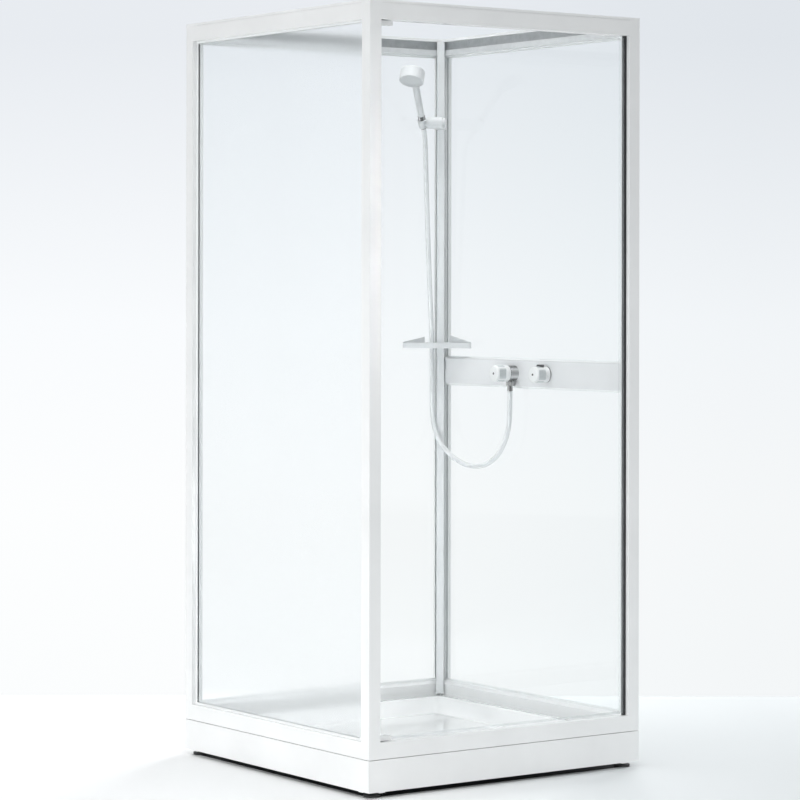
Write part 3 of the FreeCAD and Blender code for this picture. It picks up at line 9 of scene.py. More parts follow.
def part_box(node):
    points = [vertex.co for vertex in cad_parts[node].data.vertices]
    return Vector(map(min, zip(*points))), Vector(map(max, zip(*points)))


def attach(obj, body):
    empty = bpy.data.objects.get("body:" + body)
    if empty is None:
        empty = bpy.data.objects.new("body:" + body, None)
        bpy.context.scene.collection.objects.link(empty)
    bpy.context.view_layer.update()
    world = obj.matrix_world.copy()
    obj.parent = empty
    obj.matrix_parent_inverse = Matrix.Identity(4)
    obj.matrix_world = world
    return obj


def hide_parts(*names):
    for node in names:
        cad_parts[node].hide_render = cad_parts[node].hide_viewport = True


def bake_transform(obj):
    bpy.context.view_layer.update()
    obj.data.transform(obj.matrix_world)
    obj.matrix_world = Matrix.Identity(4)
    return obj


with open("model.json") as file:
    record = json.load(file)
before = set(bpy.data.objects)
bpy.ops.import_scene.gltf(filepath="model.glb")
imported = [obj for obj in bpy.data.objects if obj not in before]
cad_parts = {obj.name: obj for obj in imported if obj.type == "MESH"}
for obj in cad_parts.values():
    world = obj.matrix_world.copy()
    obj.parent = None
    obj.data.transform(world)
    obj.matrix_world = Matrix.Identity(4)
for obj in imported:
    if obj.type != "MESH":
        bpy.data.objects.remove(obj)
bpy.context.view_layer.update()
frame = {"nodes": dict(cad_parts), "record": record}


def link(name, data):
    """Puts a new object in the scene."""
    item = bpy.data.objects.new(name, data)
    bpy.context.scene.collection.objects.link(item)
    return item


# Camera, where a fit to the photograph places it

VIEW_AZIMUTH = math.radians(35.552)
VIEW_ROLL = -0.0016
VIEW_PLACE = (-4.6835, -6.5073, 1.3029)
FOCAL_LENGTH_IN_PIXELS = 2894.8
HALF_WIDTH_IN_PIXELS = 400
FRAMING_SHIFT = -0.1383
VIEW_DEPTH = 60


def add_camera():
    """A level camera at the photograph's angle. The shift only frames the cabin."""
    data = bpy.data.cameras.new("camera")
    data.sensor_fit = "HORIZONTAL"
    data.angle = 2 * math.atan(HALF_WIDTH_IN_PIXELS / FOCAL_LENGTH_IN_PIXELS)
    data.shift_y = FRAMING_SHIFT
    data.clip_end = VIEW_DEPTH
    camera = link("camera", data)
    camera.location = VIEW_PLACE
    camera.rotation_euler = (math.pi / 2, VIEW_ROLL, -VIEW_AZIMUTH)
    bpy.context.scene.camera = camera


add_camera()

# Mesh helpers


def mesh_object(name, build, material, smooth=True):
    """An object from a function that fills a bmesh."""
    shape = bmesh.new()
    build(shape)
    mesh = bpy.data.meshes.new(name)
    shape.to_mesh(mesh)
    shape.free()
    if smooth:
        mesh.shade_smooth()
    else:
        mesh.shade_flat()
    mesh.materials.append(material)
    return link(name, mesh)


def tube(shape, points, radius, sides=24):
    """A round tube along points, with closed ends."""
    turns = [2 * math.pi * step / sides for step in range(sides)]
    rings = []
    normal = (points[1] - points[0]).orthogonal().normalized()
    for index, point in enumerate(points):
        before = points[max(index - 1, 0)]
        after = points[min(index + 1, len(points) - 1)]
        along = (after - before).normalized()
        normal = (normal - along * normal.dot(along)).normalized()
        side = along.cross(normal)
        rings.append([shape.verts.new(point + (normal * math.cos(turn) + side * math.sin(turn)) * radius)
                      for turn in turns])
    for ring, following in zip(rings, rings[1:]):
        for step in range(sides):
            shape.faces.new((ring[step], ring[(step + 1) % sides],
                             following[(step + 1) % sides], following[step]))
    shape.faces.new(list(reversed(rings[0])))
    shape.faces.new(rings[-1])


def disc(shape, place, radius, depth, sides=24):
    """A thin round stud that narrows a little towards its top."""
    bmesh.ops.create_cone(shape, cap_ends=True, segments=sides, radius1=radius, radius2=radius * 0.9,
                          depth=depth, matrix=place)


# Material helpers

COAT_ROUGHNESS = 0.08
SMOOTHEST_SHARE, ROUGHEST_SHARE = 0.8, 1.25
GLOSS_CLOUDS_PER_TONE_CLOUD = 9
GRAIN_STRENGTH = 0.25


def new_material(name):
    """A new material with its nodes, its links and its main shader."""
    material = bpy.data.materials.new(name)
    material.use_nodes = True
    return material, *opened(material)


def opened(material):
    """A material's nodes, its links and its main shader."""
    nodes = material.node_tree.nodes
    return nodes, material.node_tree.links, nodes["Principled BSDF"]


def axes(nodes, links, kind="Object"):
    """The place on the object in metres, or the way that its surface faces, along X, Y and Z."""
    place = nodes.new("ShaderNodeTexCoord")
    parts = nodes.new("ShaderNodeSeparateXYZ")
    links.new(place.outputs[kind], parts.inputs["Vector"])
    return parts.outputs


def noise(nodes, links, scale, detail):
    """Noise over the surface, in metres of the object."""
    place = nodes.new("ShaderNodeTexCoord")
    texture = nodes.new("ShaderNodeTexNoise")
    texture.inputs["Scale"].default_value = scale
    texture.inputs["Detail"].default_value = detail
    links.new(place.outputs["Object"], texture.inputs["Vector"])
    return texture.outputs["Fac"]


def colour_stops(nodes, links, source, stops):
    """Turns a value into a colour. Each stop is a value and the colour there."""
    element = nodes.new("ShaderNodeValToRGB")
    marks = element.color_ramp.elements
    while len(marks) < len(stops):
        marks.new(0.5)
    for mark, (position, colour) in zip(marks, stops):
        mark.position = position
        mark.color = (*colour, 1)
    links.new(source, element.inputs["Fac"])
    return element.outputs["Color"]


def two_tones(nodes, links, source, low, high):
    """Turns noise into clouds of two tones."""
    return colour_stops(nodes, links, source, [(0.3, low), (0.7, high)])


def spread(nodes, links, source, low, high):
    """Maps a value from 0 to 1 on to a range."""
    element = nodes.new("ShaderNodeMapRange")
    element.inputs["To Min"].default_value = low
    element.inputs["To Max"].default_value = high
    links.new(source, element.inputs["Value"])
    return element.outputs["Result"]


def math_node(nodes, links, operation, first, second):
    """One calculation with two values, each of which is a number or an output."""
    node = nodes.new("ShaderNodeMath")
    node.operation = operation
    for entry, value in zip(node.inputs, (first, second)):
        if isinstance(value, (int, float)):
            entry.default_value = value
        else:
            links.new(value, entry)
    return node.outputs["Value"]


def mix_colours(nodes, links, share, first, second):
    """A mix of two colours by an output that gives the share of the second."""
    both = nodes.new("ShaderNodeMixRGB")
    links.new(share, both.inputs["Fac"])
    links.new(first, both.inputs["Color1"])
    links.new(second, both.inputs["Color2"])
    return both.outputs["Color"]


def mix_shaders(nodes, links, share, first, second):
    """Shows a mix of two shaders. The share of the second is a number or an output."""
    mixed = nodes.new("ShaderNodeMixShader")
    if isinstance(share, float):
        mixed.inputs["Fac"].default_value = share
    else:
        links.new(share, mixed.inputs["Fac"])
    links.new(first, mixed.inputs[1])
    links.new(second, mixed.inputs[2])
    links.new(mixed.outputs["Shader"], nodes["Material Output"].inputs["Surface"])


def bump(nodes, links, shader, source, strength, distance):
    """Lets noise raise and lower the surface a little."""
    element = nodes.new("ShaderNodeBump")
    element.inputs["Strength"].default_value = strength
    element.inputs["Distance"].default_value = distance
    links.new(source, element.inputs["Height"])
    links.new(element.outputs["Normal"], shader.inputs["Normal"])


def surface(name, low, high, roughness, metallic=0.0, coat=0.0, grain=900, depth=0.00002, cloud=6):
    """A solid finish: two close tones, uneven gloss and a fine grain."""
    material, nodes, links, shader = new_material(name)
    links.new(two_tones(nodes, links, noise(nodes, links, cloud, 4), low, high), shader.inputs["Base Color"])
    shader.inputs["Metallic"].default_value = metallic
    shader.inputs["Coat Weight"].default_value = coat
    shader.inputs["Coat Roughness"].default_value = COAT_ROUGHNESS
    gloss = noise(nodes, links, cloud * GLOSS_CLOUDS_PER_TONE_CLOUD, 3)
    links.new(spread(nodes, links, gloss, roughness * SMOOTHEST_SHARE, roughness * ROUGHEST_SHARE),
              shader.inputs["Roughness"])
    bump(nodes, links, shader, noise(nodes, links, grain, 1), GRAIN_STRENGTH, depth)
    return material


# Glass and clear seals

GLASS_INDEX = 1.5
GLASS_ROUGHNESS = 0.015
GLASS_MIRROR_TINT = (0.93, 0.97, 0.98, 1)
GLASS_TINT = (0.994, 0.998, 0.998, 1)
GLASS_WAVES, GLASS_WAVE_STRENGTH, GLASS_WAVE_DEPTH = 2.5, 0.04, 0.0006
VINYL_TINT = (0.99, 0.995, 0.995, 1)
VINYL_HAZE = 0.08
FROST_INDEX = 1.12
FROST_GRAIN = 900
FROST_SMOOTHEST, FROST_ROUGHEST = 0.16, 0.24
FROST_TINT = (0.97, 0.985, 0.99, 1)
FROST_VEIL_COLOUR = (0.93, 0.96, 0.98, 1)
FROST_VEIL = 0.06


def straight_through(nodes, tint):
    """Lets light straight through."""
    through = nodes.new("ShaderNodeBsdfTransparent")
    through.inputs["Color"].default_value = tint
    return through.outputs["BSDF"]


def near_face_mirror(nodes, links):
    """How much a pane mirrors: both its faces together, counted on the face that is met first."""
    mirror = nodes.new("ShaderNodeFresnel")
    mirror.inputs["IOR"].default_value = GLASS_INDEX
    side = nodes.new("ShaderNodeNewGeometry")
    near = math_node(nodes, links, "SUBTRACT", 1, side.outputs["Backfacing"])
    return math_node(nodes, links, "MULTIPLY", mirror.outputs["Fac"], near)


def clear_glass():
    """Flat clear glass: it lets light straight through, and mirrors more at a slant."""
    material, nodes, links, shader = new_material("clear_glass")
    shader.inputs["Base Color"].default_value = GLASS_MIRROR_TINT
    shader.inputs["Metallic"].default_value = 1
    shader.inputs["Roughness"].default_value = GLASS_ROUGHNESS
    waves = noise(nodes, links, GLASS_WAVES, 1)
    bump(nodes, links, shader, waves, GLASS_WAVE_STRENGTH, GLASS_WAVE_DEPTH)
    mix_shaders(nodes, links, near_face_mirror(nodes, links),
                straight_through(nodes, GLASS_TINT), shader.outputs["BSDF"])
    return material


def clear_vinyl():
    """Soft see-through seal, with a little haze."""
    material = surface("clear_vinyl", (0.84, 0.86, 0.87), (0.90, 0.92, 0.93), roughness=0.25, grain=500)
    nodes, links, shader = opened(material)
    mix_shaders(nodes, links, VINYL_HAZE, straight_through(nodes, VINYL_TINT), shader.outputs["BSDF"])
    return material


def frosted_glass():
    """Lightly frosted glass: what stands behind it blurs with its distance."""
    material, nodes, links, shader = new_material("frosted_glass")
    shader.inputs["Base Color"].default_value = FROST_TINT
    shader.inputs["Transmission Weight"].default_value = 1
    shader.inputs["IOR"].default_value = FROST_INDEX
    frost = noise(nodes, links, FROST_GRAIN, 1)
    links.new(spread(nodes, links, frost, FROST_SMOOTHEST, FROST_ROUGHEST), shader.inputs["Roughness"])
    veil = nodes.new("ShaderNodeBsdfDiffuse")
    veil.inputs["Color"].default_value = FROST_VEIL_COLOUR
    mix_shaders(nodes, links, FROST_VEIL, shader.outputs["BSDF"], veil.outputs["BSDF"])
    return material


# Metal, coated and plastic finishes

WHITE_COAT_TONES = (0.79, 0.80, 0.80), (0.84, 0.85, 0.85)
WHITE_PLASTIC_TONES = (0.80, 0.81, 0.81), (0.85, 0.86, 0.86)
# Painted reflection on chrome: dark and bright colour bands by how squarely the surface faces the eye, a
# little bluer.
CHROME_PAINTED_REFLECTION_BANDS = ((0, 0.07), (0.15, 0.10), (0.3, 0.8), (0.5, 0.12), (0.8, 0.6))
CHROME_PAINTED_REFLECTION_BLUE = 1.01
# Painted shade on the head rails: greyer inside the cabin, darker grey in the recess above the glass.
RECESS_HEIGHT = 2.0122
RECESS_REACH = 0.44
RAIL_INSIDE_SHADE_TONES = (0.57, 0.59, 0.60), (0.63, 0.65, 0.66)
RAIL_RECESS_SHADE_TONES = (0.34, 0.36, 0.37), (0.42, 0.44, 0.45)
RAIL_CLOUDS = 60
# Painted shade in the knobs' scoops.
SCOOP_SHADE_TONES = (0.50, 0.53, 0.54), (0.58, 0.61, 0.62)
SCOOP_CLOUDS = 200
SCOOP_FACING = 0.78
FOOT_PAD_TOP, FOOT_STEM_START = 0.0098, 0.0102
FOOT_PAD_COLOUR = (0.015, 0.015, 0.016)
FOOT_STEM_COLOUR = (0.45, 0.46, 0.47)


def white_coat(name):
    """Satin white powder coat."""
    return surface(name, *WHITE_COAT_TONES, roughness=0.32, coat=0.7, grain=1400)


def white_plastic(name):
    """Gloss white moulded plastic."""
    return surface(name, *WHITE_PLASTIC_TONES, roughness=0.2, coat=0.4, grain=700, depth=0.00001)


def bright_chrome():
    """Polished chrome with a painted reflection: dark and bright bands in its colour, by how squarely it
    faces the eye.
    """
    material = surface("chrome", (0.50, 0.52, 0.53), (0.58, 0.60, 0.61),
                       roughness=0.07, metallic=1.0, grain=300, depth=0.000005)
    nodes, links, shader = opened(material)
    facing = nodes.new("ShaderNodeLayerWeight")
    facing.inputs["Blend"].default_value = 0.5
    # Painted reflection: dark and bright bands in the base colour.
    painted_reflection_bands = [(spot, (level, level, level * CHROME_PAINTED_REFLECTION_BLUE)) for spot, level in CHROME_PAINTED_REFLECTION_BANDS]
    links.new(colour_stops(nodes, links, facing.outputs["Facing"], painted_reflection_bands), shader.inputs["Base Color"])
    return material


def rail_with_painted_recess_shade():
    """White coat with painted shade: greyer on the inner side of the head rails and dark grey in the recess
    above the glass.
    """
    material = white_coat("head_rail_coat_painted_shade")
    nodes, links, shader = opened(material)
    place = axes(nodes, links)
    across = math_node(nodes, links, "ABSOLUTE", place["X"], 0)
    along = math_node(nodes, links, "ABSOLUTE", place["Y"], 0)
    reach = math_node(nodes, links, "MAXIMUM", across, along)
    inside = math_node(nodes, links, "LESS_THAN", reach, RECESS_REACH)
    above = math_node(nodes, links, "GREATER_THAN", place["Z"], RECESS_HEIGHT)
    recess = math_node(nodes, links, "MULTIPLY", inside, above)
    white = shader.inputs["Base Color"].links[0].from_socket
    # Painted shade: grey clouds inside the cabin, darker grey in the recess.
    clouds = noise(nodes, links, RAIL_CLOUDS, 2)
    inner = mix_colours(nodes, links, inside, white, two_tones(nodes, links, clouds, *RAIL_INSIDE_SHADE_TONES))
    grey = two_tones(nodes, links, clouds, *RAIL_RECESS_SHADE_TONES)
    links.new(mix_colours(nodes, links, recess, inner, grey), shader.inputs["Base Color"])
    return material


def knob_with_painted_scoop_shade(name, start, end):
    """White knob with painted shade: grey on the scoop on each of its four sides, between two places along
    its axis.
    """
    material = white_plastic(name)
    nodes, links, shader = opened(material)
    place = axes(nodes, links)
    facing = axes(nodes, links, "Normal")
    past = math_node(nodes, links, "GREATER_THAN", place["X"], start)
    before = math_node(nodes, links, "LESS_THAN", place["X"], end)
    across = math_node(nodes, links, "ABSOLUTE", facing["Y"], 0)
    upright = math_node(nodes, links, "ABSOLUTE", facing["Z"], 0)
    flat = math_node(nodes, links, "MAXIMUM", across, upright)
    faced = math_node(nodes, links, "GREATER_THAN", flat, SCOOP_FACING)
    within = math_node(nodes, links, "MULTIPLY", past, before)
    scoop = math_node(nodes, links, "MULTIPLY", within, faced)
    white = shader.inputs["Base Color"].links[0].from_socket
    # Painted shade: grey on the scoops.
    grey = two_tones(nodes, links, noise(nodes, links, SCOOP_CLOUDS, 2), *SCOOP_SHADE_TONES)
    links.new(mix_colours(nodes, links, scoop, white, grey), shader.inputs["Base Color"])
    return material


def foot_finish():
    """Black pad under a grey stem."""
    material = surface("foot_finish", (0.01, 0.01, 0.011), (0.02, 0.02, 0.022), roughness=0.5)
    nodes, links, shader = opened(material)
    step = nodes.new("ShaderNodeMapRange")
    step.inputs["From Min"].default_value = FOOT_PAD_TOP
    step.inputs["From Max"].default_value = FOOT_STEM_START
    links.new(axes(nodes, links)["Z"], step.inputs["Value"])
    colour = colour_stops(nodes, links, step.outputs["Result"], [(0, FOOT_PAD_COLOUR), (1, FOOT_STEM_COLOUR)])
    links.new(colour, shader.inputs["Base Color"])
    return material


MATERIALS = {
    "white_powder_coat": white_coat("white_powder_coat"),
    "white_plastic": white_plastic("white_plastic"),
    "tray_white": surface("tray_white", (0.91, 0.92, 0.92), (0.94, 0.95, 0.95),
                          roughness=0.08, coat=1, grain=40, depth=0.00003),
    "clear_glass": clear_glass(),
    "frosted_glass": frosted_glass(),
    "dark_rubber": surface("dark_rubber", (0.02, 0.022, 0.024), (0.035, 0.037, 0.04),
                           roughness=0.6, grain=2000),
    "pale_seal": surface("pale_seal", (0.86, 0.88, 0.88), (0.91, 0.93, 0.93),
                         roughness=0.4, grain=500),
    # Chrome with a painted reflection in its colour.
    "chrome": bright_chrome(),
    "steel": surface("steel", (0.42, 0.44, 0.45), (0.52, 0.54, 0.55),
                     roughness=0.35, metallic=1.0, grain=500, cloud=40),
    "brass": surface("brass", (0.55, 0.40, 0.16), (0.66, 0.50, 0.22),
                     roughness=0.35, metallic=1.0, grain=400, cloud=60),
    "black_plastic": surface("black_plastic", (0.012, 0.012, 0.014), (0.03, 0.03, 0.033),
                             roughness=0.3, coat=0.3),
    "grey_plastic": surface("grey_plastic", (0.55, 0.56, 0.57), (0.62, 0.63, 0.64),
                            roughness=0.4, grain=900),
    "hose_plastic": surface("hose_plastic", (0.70, 0.72, 0.73), (0.78, 0.80, 0.81),
                            roughness=0.25, coat=0.4, grain=500),
}

# Shower hose: a smooth line through the source's route, as a mesh tube in three lengths

HOSE_DIAMETER = 0.014
SLIDER_CUT_HEIGHT = 1.722
HOLDER_CUT_HEIGHT = 1.757
HOSE_ROUTE = [
    (0.39950, 0.06200, 1.01200), (0.39950, 0.06200, 0.95324), (0.39918, 0.06877, 0.89290),
    (0.39745, 0.10600, 0.83210), (0.39526, 0.15302, 0.80001), (0.39251, 0.21198, 0.78600),
    (0.38957, 0.27503, 0.79301), (0.38704, 0.32918, 0.81402), (0.38483, 0.37656, 0.84499),
    (0.38361, 0.40275, 0.88408), (0.38299, 0.41611, 0.92499), (0.38289, 0.41824, 1.00070),
    (0.38289, 0.41824, 1.14600), (0.37483, 0.41782, 1.29031), (0.36744, 0.41756, 1.44050),
    (0.36087, 0.41735, 1.59187), (0.35764, 0.41718, 1.68611), (0.35602, 0.41683, 1.73500),
    (0.33946, 0.39970, 1.76841), (0.33431, 0.39596, 1.77858),
]


def hose_line():
    """Points along the smooth line that the route's points steer."""
    curve = bpy.data.curves.new("hose_line", "CURVE")
    curve.dimensions = "3D"
    curve.resolution_u = 16
    spline = curve.splines.new("NURBS")
    spline.points.add(len(HOSE_ROUTE) - 1)
    for point, place in zip(spline.points, HOSE_ROUTE):
        point.co = (*place, 1)
    spline.order_u = 3
    spline.use_endpoint_u = True
    line = link("hose_line", curve)
    mesh = bpy.data.meshes.new_from_object(line)
    points = [vertex.co.copy() for vertex in mesh.vertices]
    bpy.data.objects.remove(line)
    return points


def first_above(line, height):
    """The first point past the loop's lowest one that is above a height."""
    lowest = min(range(len(line)), key=lambda index: line[index].z)
    return next(index for index in range(lowest, len(line)) if line[index].z > height)


def hose_piece(name, points):
    """One length of the hose, as a tube along these points."""
    piece = mesh_object(name, lambda shape: tube(shape, points, HOSE_DIAMETER / 2), MATERIALS["hose_plastic"])
    return piece


def add_hose():
    """The riser passes from cabin to slider, the bend from slider to holder, the end to the hand shower."""
    line = hose_line()
    slider_cut = first_above(line, SLIDER_CUT_HEIGHT)
    holder_cut = first_above(line, HOLDER_CUT_HEIGHT)
    riser = line[:slider_cut + 1]
    bend = line[slider_cut:holder_cut + 1]
    end = line[holder_cut:]
    main = hose_piece("hose_main", riser)
    middle = hose_piece("hose_bend", bend)
    top = hose_piece("hose_end", end)
    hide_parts("hose")
    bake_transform(main)
    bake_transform(middle)
    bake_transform(top)


add_hose()

# Finishes of the CAD pieces, some with painted shade


def repaint(material, *names):
    """Gives these CAD pieces a finish."""
    for name in names:
        for slot in frame["nodes"][name].material_slots:
            slot.material = material


for entry in frame["record"]["subparts"]:
    repaint(MATERIALS[entry["material_slot"]], entry["node"])
repaint(foot_finish(), "levelling_foot_1", "levelling_foot_2", "levelling_foot_3", "levelling_foot_4")
repaint(MATERIALS["tray_white"], "drain_cover")
# Painted shade on the head rails' inner side and recess.
repaint(rail_with_painted_recess_shade(), "top_rail_front", "top_rail_right", "top_rail_rear", "top_rail_left")
repaint(MATERIALS["white_plastic"], "door_pivot_shoe_upper", "door_pivot_shoe_lower")
repaint(clear_vinyl(), "door_closing_seal", "door_drip_seal")
# Painted shade: the corner rail in a greyer copy of the white coat.
repaint(surface("corner_rail_coat_painted_shade", (0.66, 0.68, 0.69), (0.72, 0.74, 0.75),
                roughness=0.3, coat=0.5), "corner_rail")
# Painted shade: the hand shower, its holder, the slider and the shelf in a greyer copy of the white plastic.
repaint(surface("handset_plastic_painted_shade", (0.60, 0.62, 0.63), (0.66, 0.68, 0.69),
                roughness=0.3, coat=0.3, grain=700),
        "hand_shower", "handset_holder", "slider_body", "slider_knob", "corner_shelf")
# Painted shade: the control strip in a darker copy of the white coat.
repaint(surface("strip_coat_painted_shade", (0.705, 0.715, 0.725), (0.75, 0.76, 0.77),
                roughness=0.32, coat=0.7, grain=1400), "control_strip")
# Painted shade: the spray face a little darker grey than the hand shower's body.
repaint(surface("spray_plate_painted_shade", (0.56, 0.58, 0.59), (0.62, 0.64, 0.65),
                roughness=0.35, grain=900), "spray_face")
# Painted shade in the knobs' scoops.
repaint(knob_with_painted_scoop_shade("flow_knob_plastic", start=0.347, end=0.370), "flow_knob")
repaint(knob_with_painted_scoop_shade("temperature_knob_plastic", start=0.371, end=0.395), "temperature_knob")

# Small details: a dot on each knob, and the spray nozzles

KNOB_DOTS = {"flow_knob": (0.3394, 0.062, 1.063), "temperature_knob": (0.3634, -0.088, 1.063)}
DOT_RADIUS, DOT_DEPTH = 0.0036, 0.0007
NOZZLE_RINGS = ((0.006, 6), (0.0125, 12), (0.0185, 18), (0.028, 28))
NOZZLE_RADIUS, NOZZLE_DEPTH, NOZZLE_RISE, NOZZLE_SIDES = 0.0009, 0.0012, 0.0003, 12
LOOKS_DOWN = -0.3


def add_detail(name, build, slot, body):
    """A small piece that the CAD leaves to the scene, in a slot's finish and on a body."""
    piece = mesh_object(name, build, MATERIALS[slot])
    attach(piece, body)


def add_knob_dots():
    """The small black dot in the face of each knob."""
    for knob, middle in KNOB_DOTS.items():
        place = Matrix.Translation(middle) @ Matrix.Rotation(-math.pi / 2, 4, "Y")
        add_detail(knob + "_dot", lambda shape: disc(shape, place, DOT_RADIUS, DOT_DEPTH),
                   "black_plastic", knob)


def spray_side():
    """The middle of the spray face and the way that it looks, from the piece's own faces."""
    sides = {}
    for face in frame["nodes"]["spray_face"].data.polygons:
        way = tuple(round(part, 2) for part in face.normal)
        sides.setdefault(way, []).append(face)
    down = [faces for way, faces in sides.items() if way[2] < LOOKS_DOWN]
    flat = max(down, key=lambda faces: sum(face.area for face in faces))
    normal = sum((face.normal * face.area for face in flat), Vector()).normalized()
    front = max(flat, key=lambda face: face.center.dot(normal))
    low, high = (Vector(corner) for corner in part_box("spray_face"))
    middle = (low + high) / 2
    return middle + normal * (front.center - middle).dot(normal), normal


def add_nozzles():
    """Rings of soft nozzles on the spray face."""
    middle, normal = spray_side()
    face = Matrix.Translation(middle) @ normal.to_track_quat("Z", "Y").to_matrix().to_4x4()

    def build(shape):
        for radius, count in NOZZLE_RINGS:
            for step in range(count):
                angle = 2 * math.pi * step / count
                spot = Matrix.Translation((radius * math.cos(angle), radius * math.sin(angle), NOZZLE_RISE))
                disc(shape, face @ spot, NOZZLE_RADIUS, NOZZLE_DEPTH, sides=NOZZLE_SIDES)

    add_detail("spray_nozzles", build, "grey_plastic", "hand_shower")


add_knob_dots()
add_nozzles()

# Stage

WALL_DISTANCE = 1.26
WALL_HALF_WIDTH, WALL_FOOT, WALL_TOP = 6, -0.01, 6
WALL_UPWARDS_REACH = 2.4
WALL_UPWARDS = [
    (0.0, (0.97, 0.985, 0.99)), (0.6, (0.98, 0.99, 0.995)),
    (1.2, (0.95, 0.97, 0.99)), (2.1, (0.81, 0.84, 0.88)),
]
WALL_SIDEWAYS_REACH = 1.2
WALL_SIDEWAYS = [(0.0, (1, 1, 1)), (0.7, (0.945, 0.955, 0.96)), (1.1, (0.93, 0.94, 0.945))]
FLOOR_HALF_WIDTH, FLOOR_LENGTH, FLOOR_HEIGHT = 9, 14, -0.0002
FLOOR_SIDEWAYS_REACH = 1.4
# Painted shade on the floor: darker towards the right of the view.
FLOOR_SIDEWAYS_SHADE = [(0.0, (0.96, 0.97, 0.97)), (0.5, (0.70, 0.73, 0.74)), (1.1, (0.62, 0.65, 0.66))]
FLOOR_ROUGHNESS = 0.5
LIT_FLOOR_REACH = 1.85
PLAIN_FLOOR_REACH = 2.8
PLAIN_FLOOR_COLOUR = (0.86, 0.875, 0.89, 1)
# Painted shade: a dark sheet on the floor under the cabin.
SHADE_HALF_WIDTH, SHADE_HEIGHT = 0.43, -0.0001
WORLD_COLOUR = (0.97, 0.985, 1.0, 1)
WORLD_STRENGTH = 0.47
WORLD_EXTRA_IN_MIRRORS = 0.35
WORLD_EXTRA_TO_CAMERA = 0.4


def shade_along(nodes, links, axis, reach, shape):
    """Colours at places along an axis of the object, in metres, from zero to the reach."""
    share = math_node(nodes, links, "DIVIDE", axes(nodes, links)[axis], reach)
    return colour_stops(nodes, links, share, [(spot / reach, colour) for spot, colour in shape])


def sheet(name, corners, material):
    """A flat piece of the stage, between its corners."""
    def build(shape):
        shape.faces.new([shape.verts.new(corner) for corner in corners])

    piece = mesh_object(name, build, material, smooth=False)
    return piece


def level_corners(left, right, near, far):
    """The corners of a level sheet."""
    return [(left, near, 0), (right, near, 0), (right, far, 0), (left, far, 0)]


def hide_from_bounces(piece):
    """Keeps the piece from lighting, shading or being mirrored in anything."""
    piece.visible_diffuse = False
    piece.visible_glossy = False
    piece.visible_shadow = False


def add_backdrop():
    """A pale wall behind the cabin, seen from its front alone, by the camera and through the glass."""
    material, nodes, links, shader = new_material("backdrop_material")
    nodes.remove(shader)
    upwards = shade_along(nodes, links, "Z", WALL_UPWARDS_REACH, WALL_UPWARDS)
    sideways = shade_along(nodes, links, "X", WALL_SIDEWAYS_REACH, WALL_SIDEWAYS)
    both = nodes.new("ShaderNodeVectorMath")
    both.operation = "MULTIPLY"
    links.new(upwards, both.inputs[0])
    links.new(sideways, both.inputs[1])
    glow = nodes.new("ShaderNodeEmission")
    links.new(both.outputs["Vector"], glow.inputs["Color"])
    side = nodes.new("ShaderNodeNewGeometry")
    through = nodes.new("ShaderNodeBsdfTransparent")
    mix_shaders(nodes, links, side.outputs["Backfacing"], glow.outputs["Emission"], through.outputs["BSDF"])
    wall = sheet("backdrop", [
        (-WALL_HALF_WIDTH, 0, WALL_FOOT), (WALL_HALF_WIDTH, 0, WALL_FOOT),
        (WALL_HALF_WIDTH, 0, WALL_TOP), (-WALL_HALF_WIDTH, 0, WALL_TOP),
    ], material)
    wall.rotation_euler = (0, 0, -VIEW_AZIMUTH)
    wall.location = (WALL_DISTANCE * math.sin(VIEW_AZIMUTH), WALL_DISTANCE * math.cos(VIEW_AZIMUTH), 0)
    hide_from_bounces(wall)


def floor_material():
    """Lit near the cabin, where it keeps the shadow, with painted shade that darkens it towards the right of
    the view, and plain and pale further out.
    """
    material, nodes, links, shader = new_material("floor_material")
    material.cycles.emission_sampling = "NONE"
    # Painted shade: the floor's colour darkens towards the right of the view.
    pale = shade_along(nodes, links, "X", FLOOR_SIDEWAYS_REACH, FLOOR_SIDEWAYS_SHADE)
    links.new(pale, shader.inputs["Base Color"])
    shader.inputs["Roughness"].default_value = FLOOR_ROUGHNESS
    place = nodes.new("ShaderNodeTexCoord")
    away = nodes.new("ShaderNodeVectorMath")
    away.operation = "LENGTH"
    links.new(place.outputs["Object"], away.inputs[0])
    past = math_node(nodes, links, "SUBTRACT", away.outputs["Value"], LIT_FLOOR_REACH)
    faded = math_node(nodes, links, "DIVIDE", past, PLAIN_FLOOR_REACH - LIT_FLOOR_REACH)
    path = nodes.new("ShaderNodeLightPath")
    seen = math_node(nodes, links, "MAXIMUM", path.outputs["Is Camera Ray"],
                     path.outputs["Is Transmission Ray"])
    glow = nodes.new("ShaderNodeEmission")
    glow.inputs["Color"].default_value = PLAIN_FLOOR_COLOUR
    share = math_node(nodes, links, "MULTIPLY", faded, seen)
    mix_shaders(nodes, links, share, shader.outputs["BSDF"], glow.outputs["Emission"])
    return material


def add_floor():
    """A floor up to the wall, and its other half, which is seen only from behind the wall."""
    material = floor_material()
    front = level_corners(-FLOOR_HALF_WIDTH, FLOOR_HALF_WIDTH, -FLOOR_LENGTH, WALL_DISTANCE)
    back = level_corners(-FLOOR_HALF_WIDTH, FLOOR_HALF_WIDTH, WALL_DISTANCE, FLOOR_LENGTH)
    floor = sheet("floor", front, material)
    floor_behind = sheet("floor_behind", back, material)
    for half in (floor, floor_behind):
        half.rotation_euler = (0, 0, -VIEW_AZIMUTH)
        half.location = (0, 0, FLOOR_HEIGHT)
    hide_from_bounces(floor_behind)


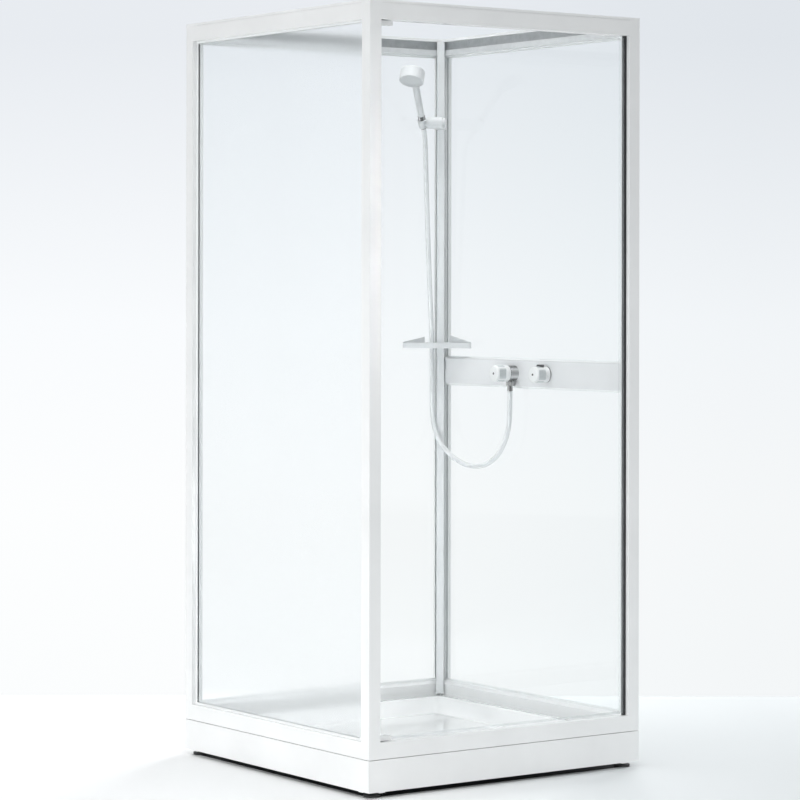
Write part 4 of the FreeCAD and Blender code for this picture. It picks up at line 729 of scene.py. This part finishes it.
def add_painted_shade_under_cabin():
    """A dark sheet on the floor under the cabin, as painted shade."""
    material = surface("painted_shade_under_cabin", (0.010, 0.011, 0.012), (0.02, 0.022, 0.024), roughness=0.9)
    half = SHADE_HALF_WIDTH
    shade = sheet("painted_shade_under_cabin", level_corners(-half, half, -half, half), material)
    shade.location = (0, 0, SHADE_HEIGHT)


def add_world():
    """Even light from all round, brighter where the glass mirrors it and where the camera sees it."""
    world = bpy.data.worlds.new("world")
    bpy.context.scene.world = world
    world.use_nodes = True
    nodes = world.node_tree.nodes
    links = world.node_tree.links
    background = nodes["Background"]
    background.inputs["Color"].default_value = WORLD_COLOUR
    path = nodes.new("ShaderNodeLightPath")
    mirrored = math_node(nodes, links, "MULTIPLY", path.outputs["Is Glossy Ray"], WORLD_EXTRA_IN_MIRRORS)
    seen = math_node(nodes, links, "MULTIPLY", path.outputs["Is Camera Ray"], WORLD_EXTRA_TO_CAMERA)
    extra = math_node(nodes, links, "ADD", mirrored, seen)
    links.new(math_node(nodes, links, "ADD", extra, WORLD_STRENGTH), background.inputs["Strength"])


def add_lamp(name, place, target, width, height, power, spread_degrees=180):
    """A soft lamp that isn't seen in the glass."""
    data = bpy.data.lights.new(name, "AREA")
    data.shape = "RECTANGLE"
    data.size = width
    data.size_y = height
    data.energy = power
    data.spread = math.radians(spread_degrees)
    lamp = link(name, data)
    lamp.visible_glossy = False
    lamp.location = place
    lamp.rotation_euler = (Vector(target) - Vector(place)).to_track_quat("-Z", "Y").to_euler()


add_backdrop()
add_floor()
add_painted_shade_under_cabin()
add_world()
add_lamp("top", place=(-0.3, -0.3, 4.8), target=(-0.05, -0.05, 0), width=2.6, height=2.6, power=125)
add_lamp("left", place=(-4.4, -1.3, 0.45), target=(-0.6, -0.3, 0.0), width=2.6, height=0.8, power=35,
         spread_degrees=110)
add_lamp("rear", place=(3.4, 2.4, 2.4), target=(0.1, 0, 0.1), width=2.0, height=2.0, power=150)
add_lamp("front", place=(1.2, -3.4, 0.3), target=(0, -0.45, 0.0), width=1.6, height=0.4, power=7,
         spread_degrees=110)
add_lamp("post", place=(1.87, -4.7, 1.5), target=(-0.43, -0.45, 1.5), width=0.2, height=0.8, power=0.28,
         spread_degrees=7)

bpy.context.scene.view_settings.view_transform = "Standard"
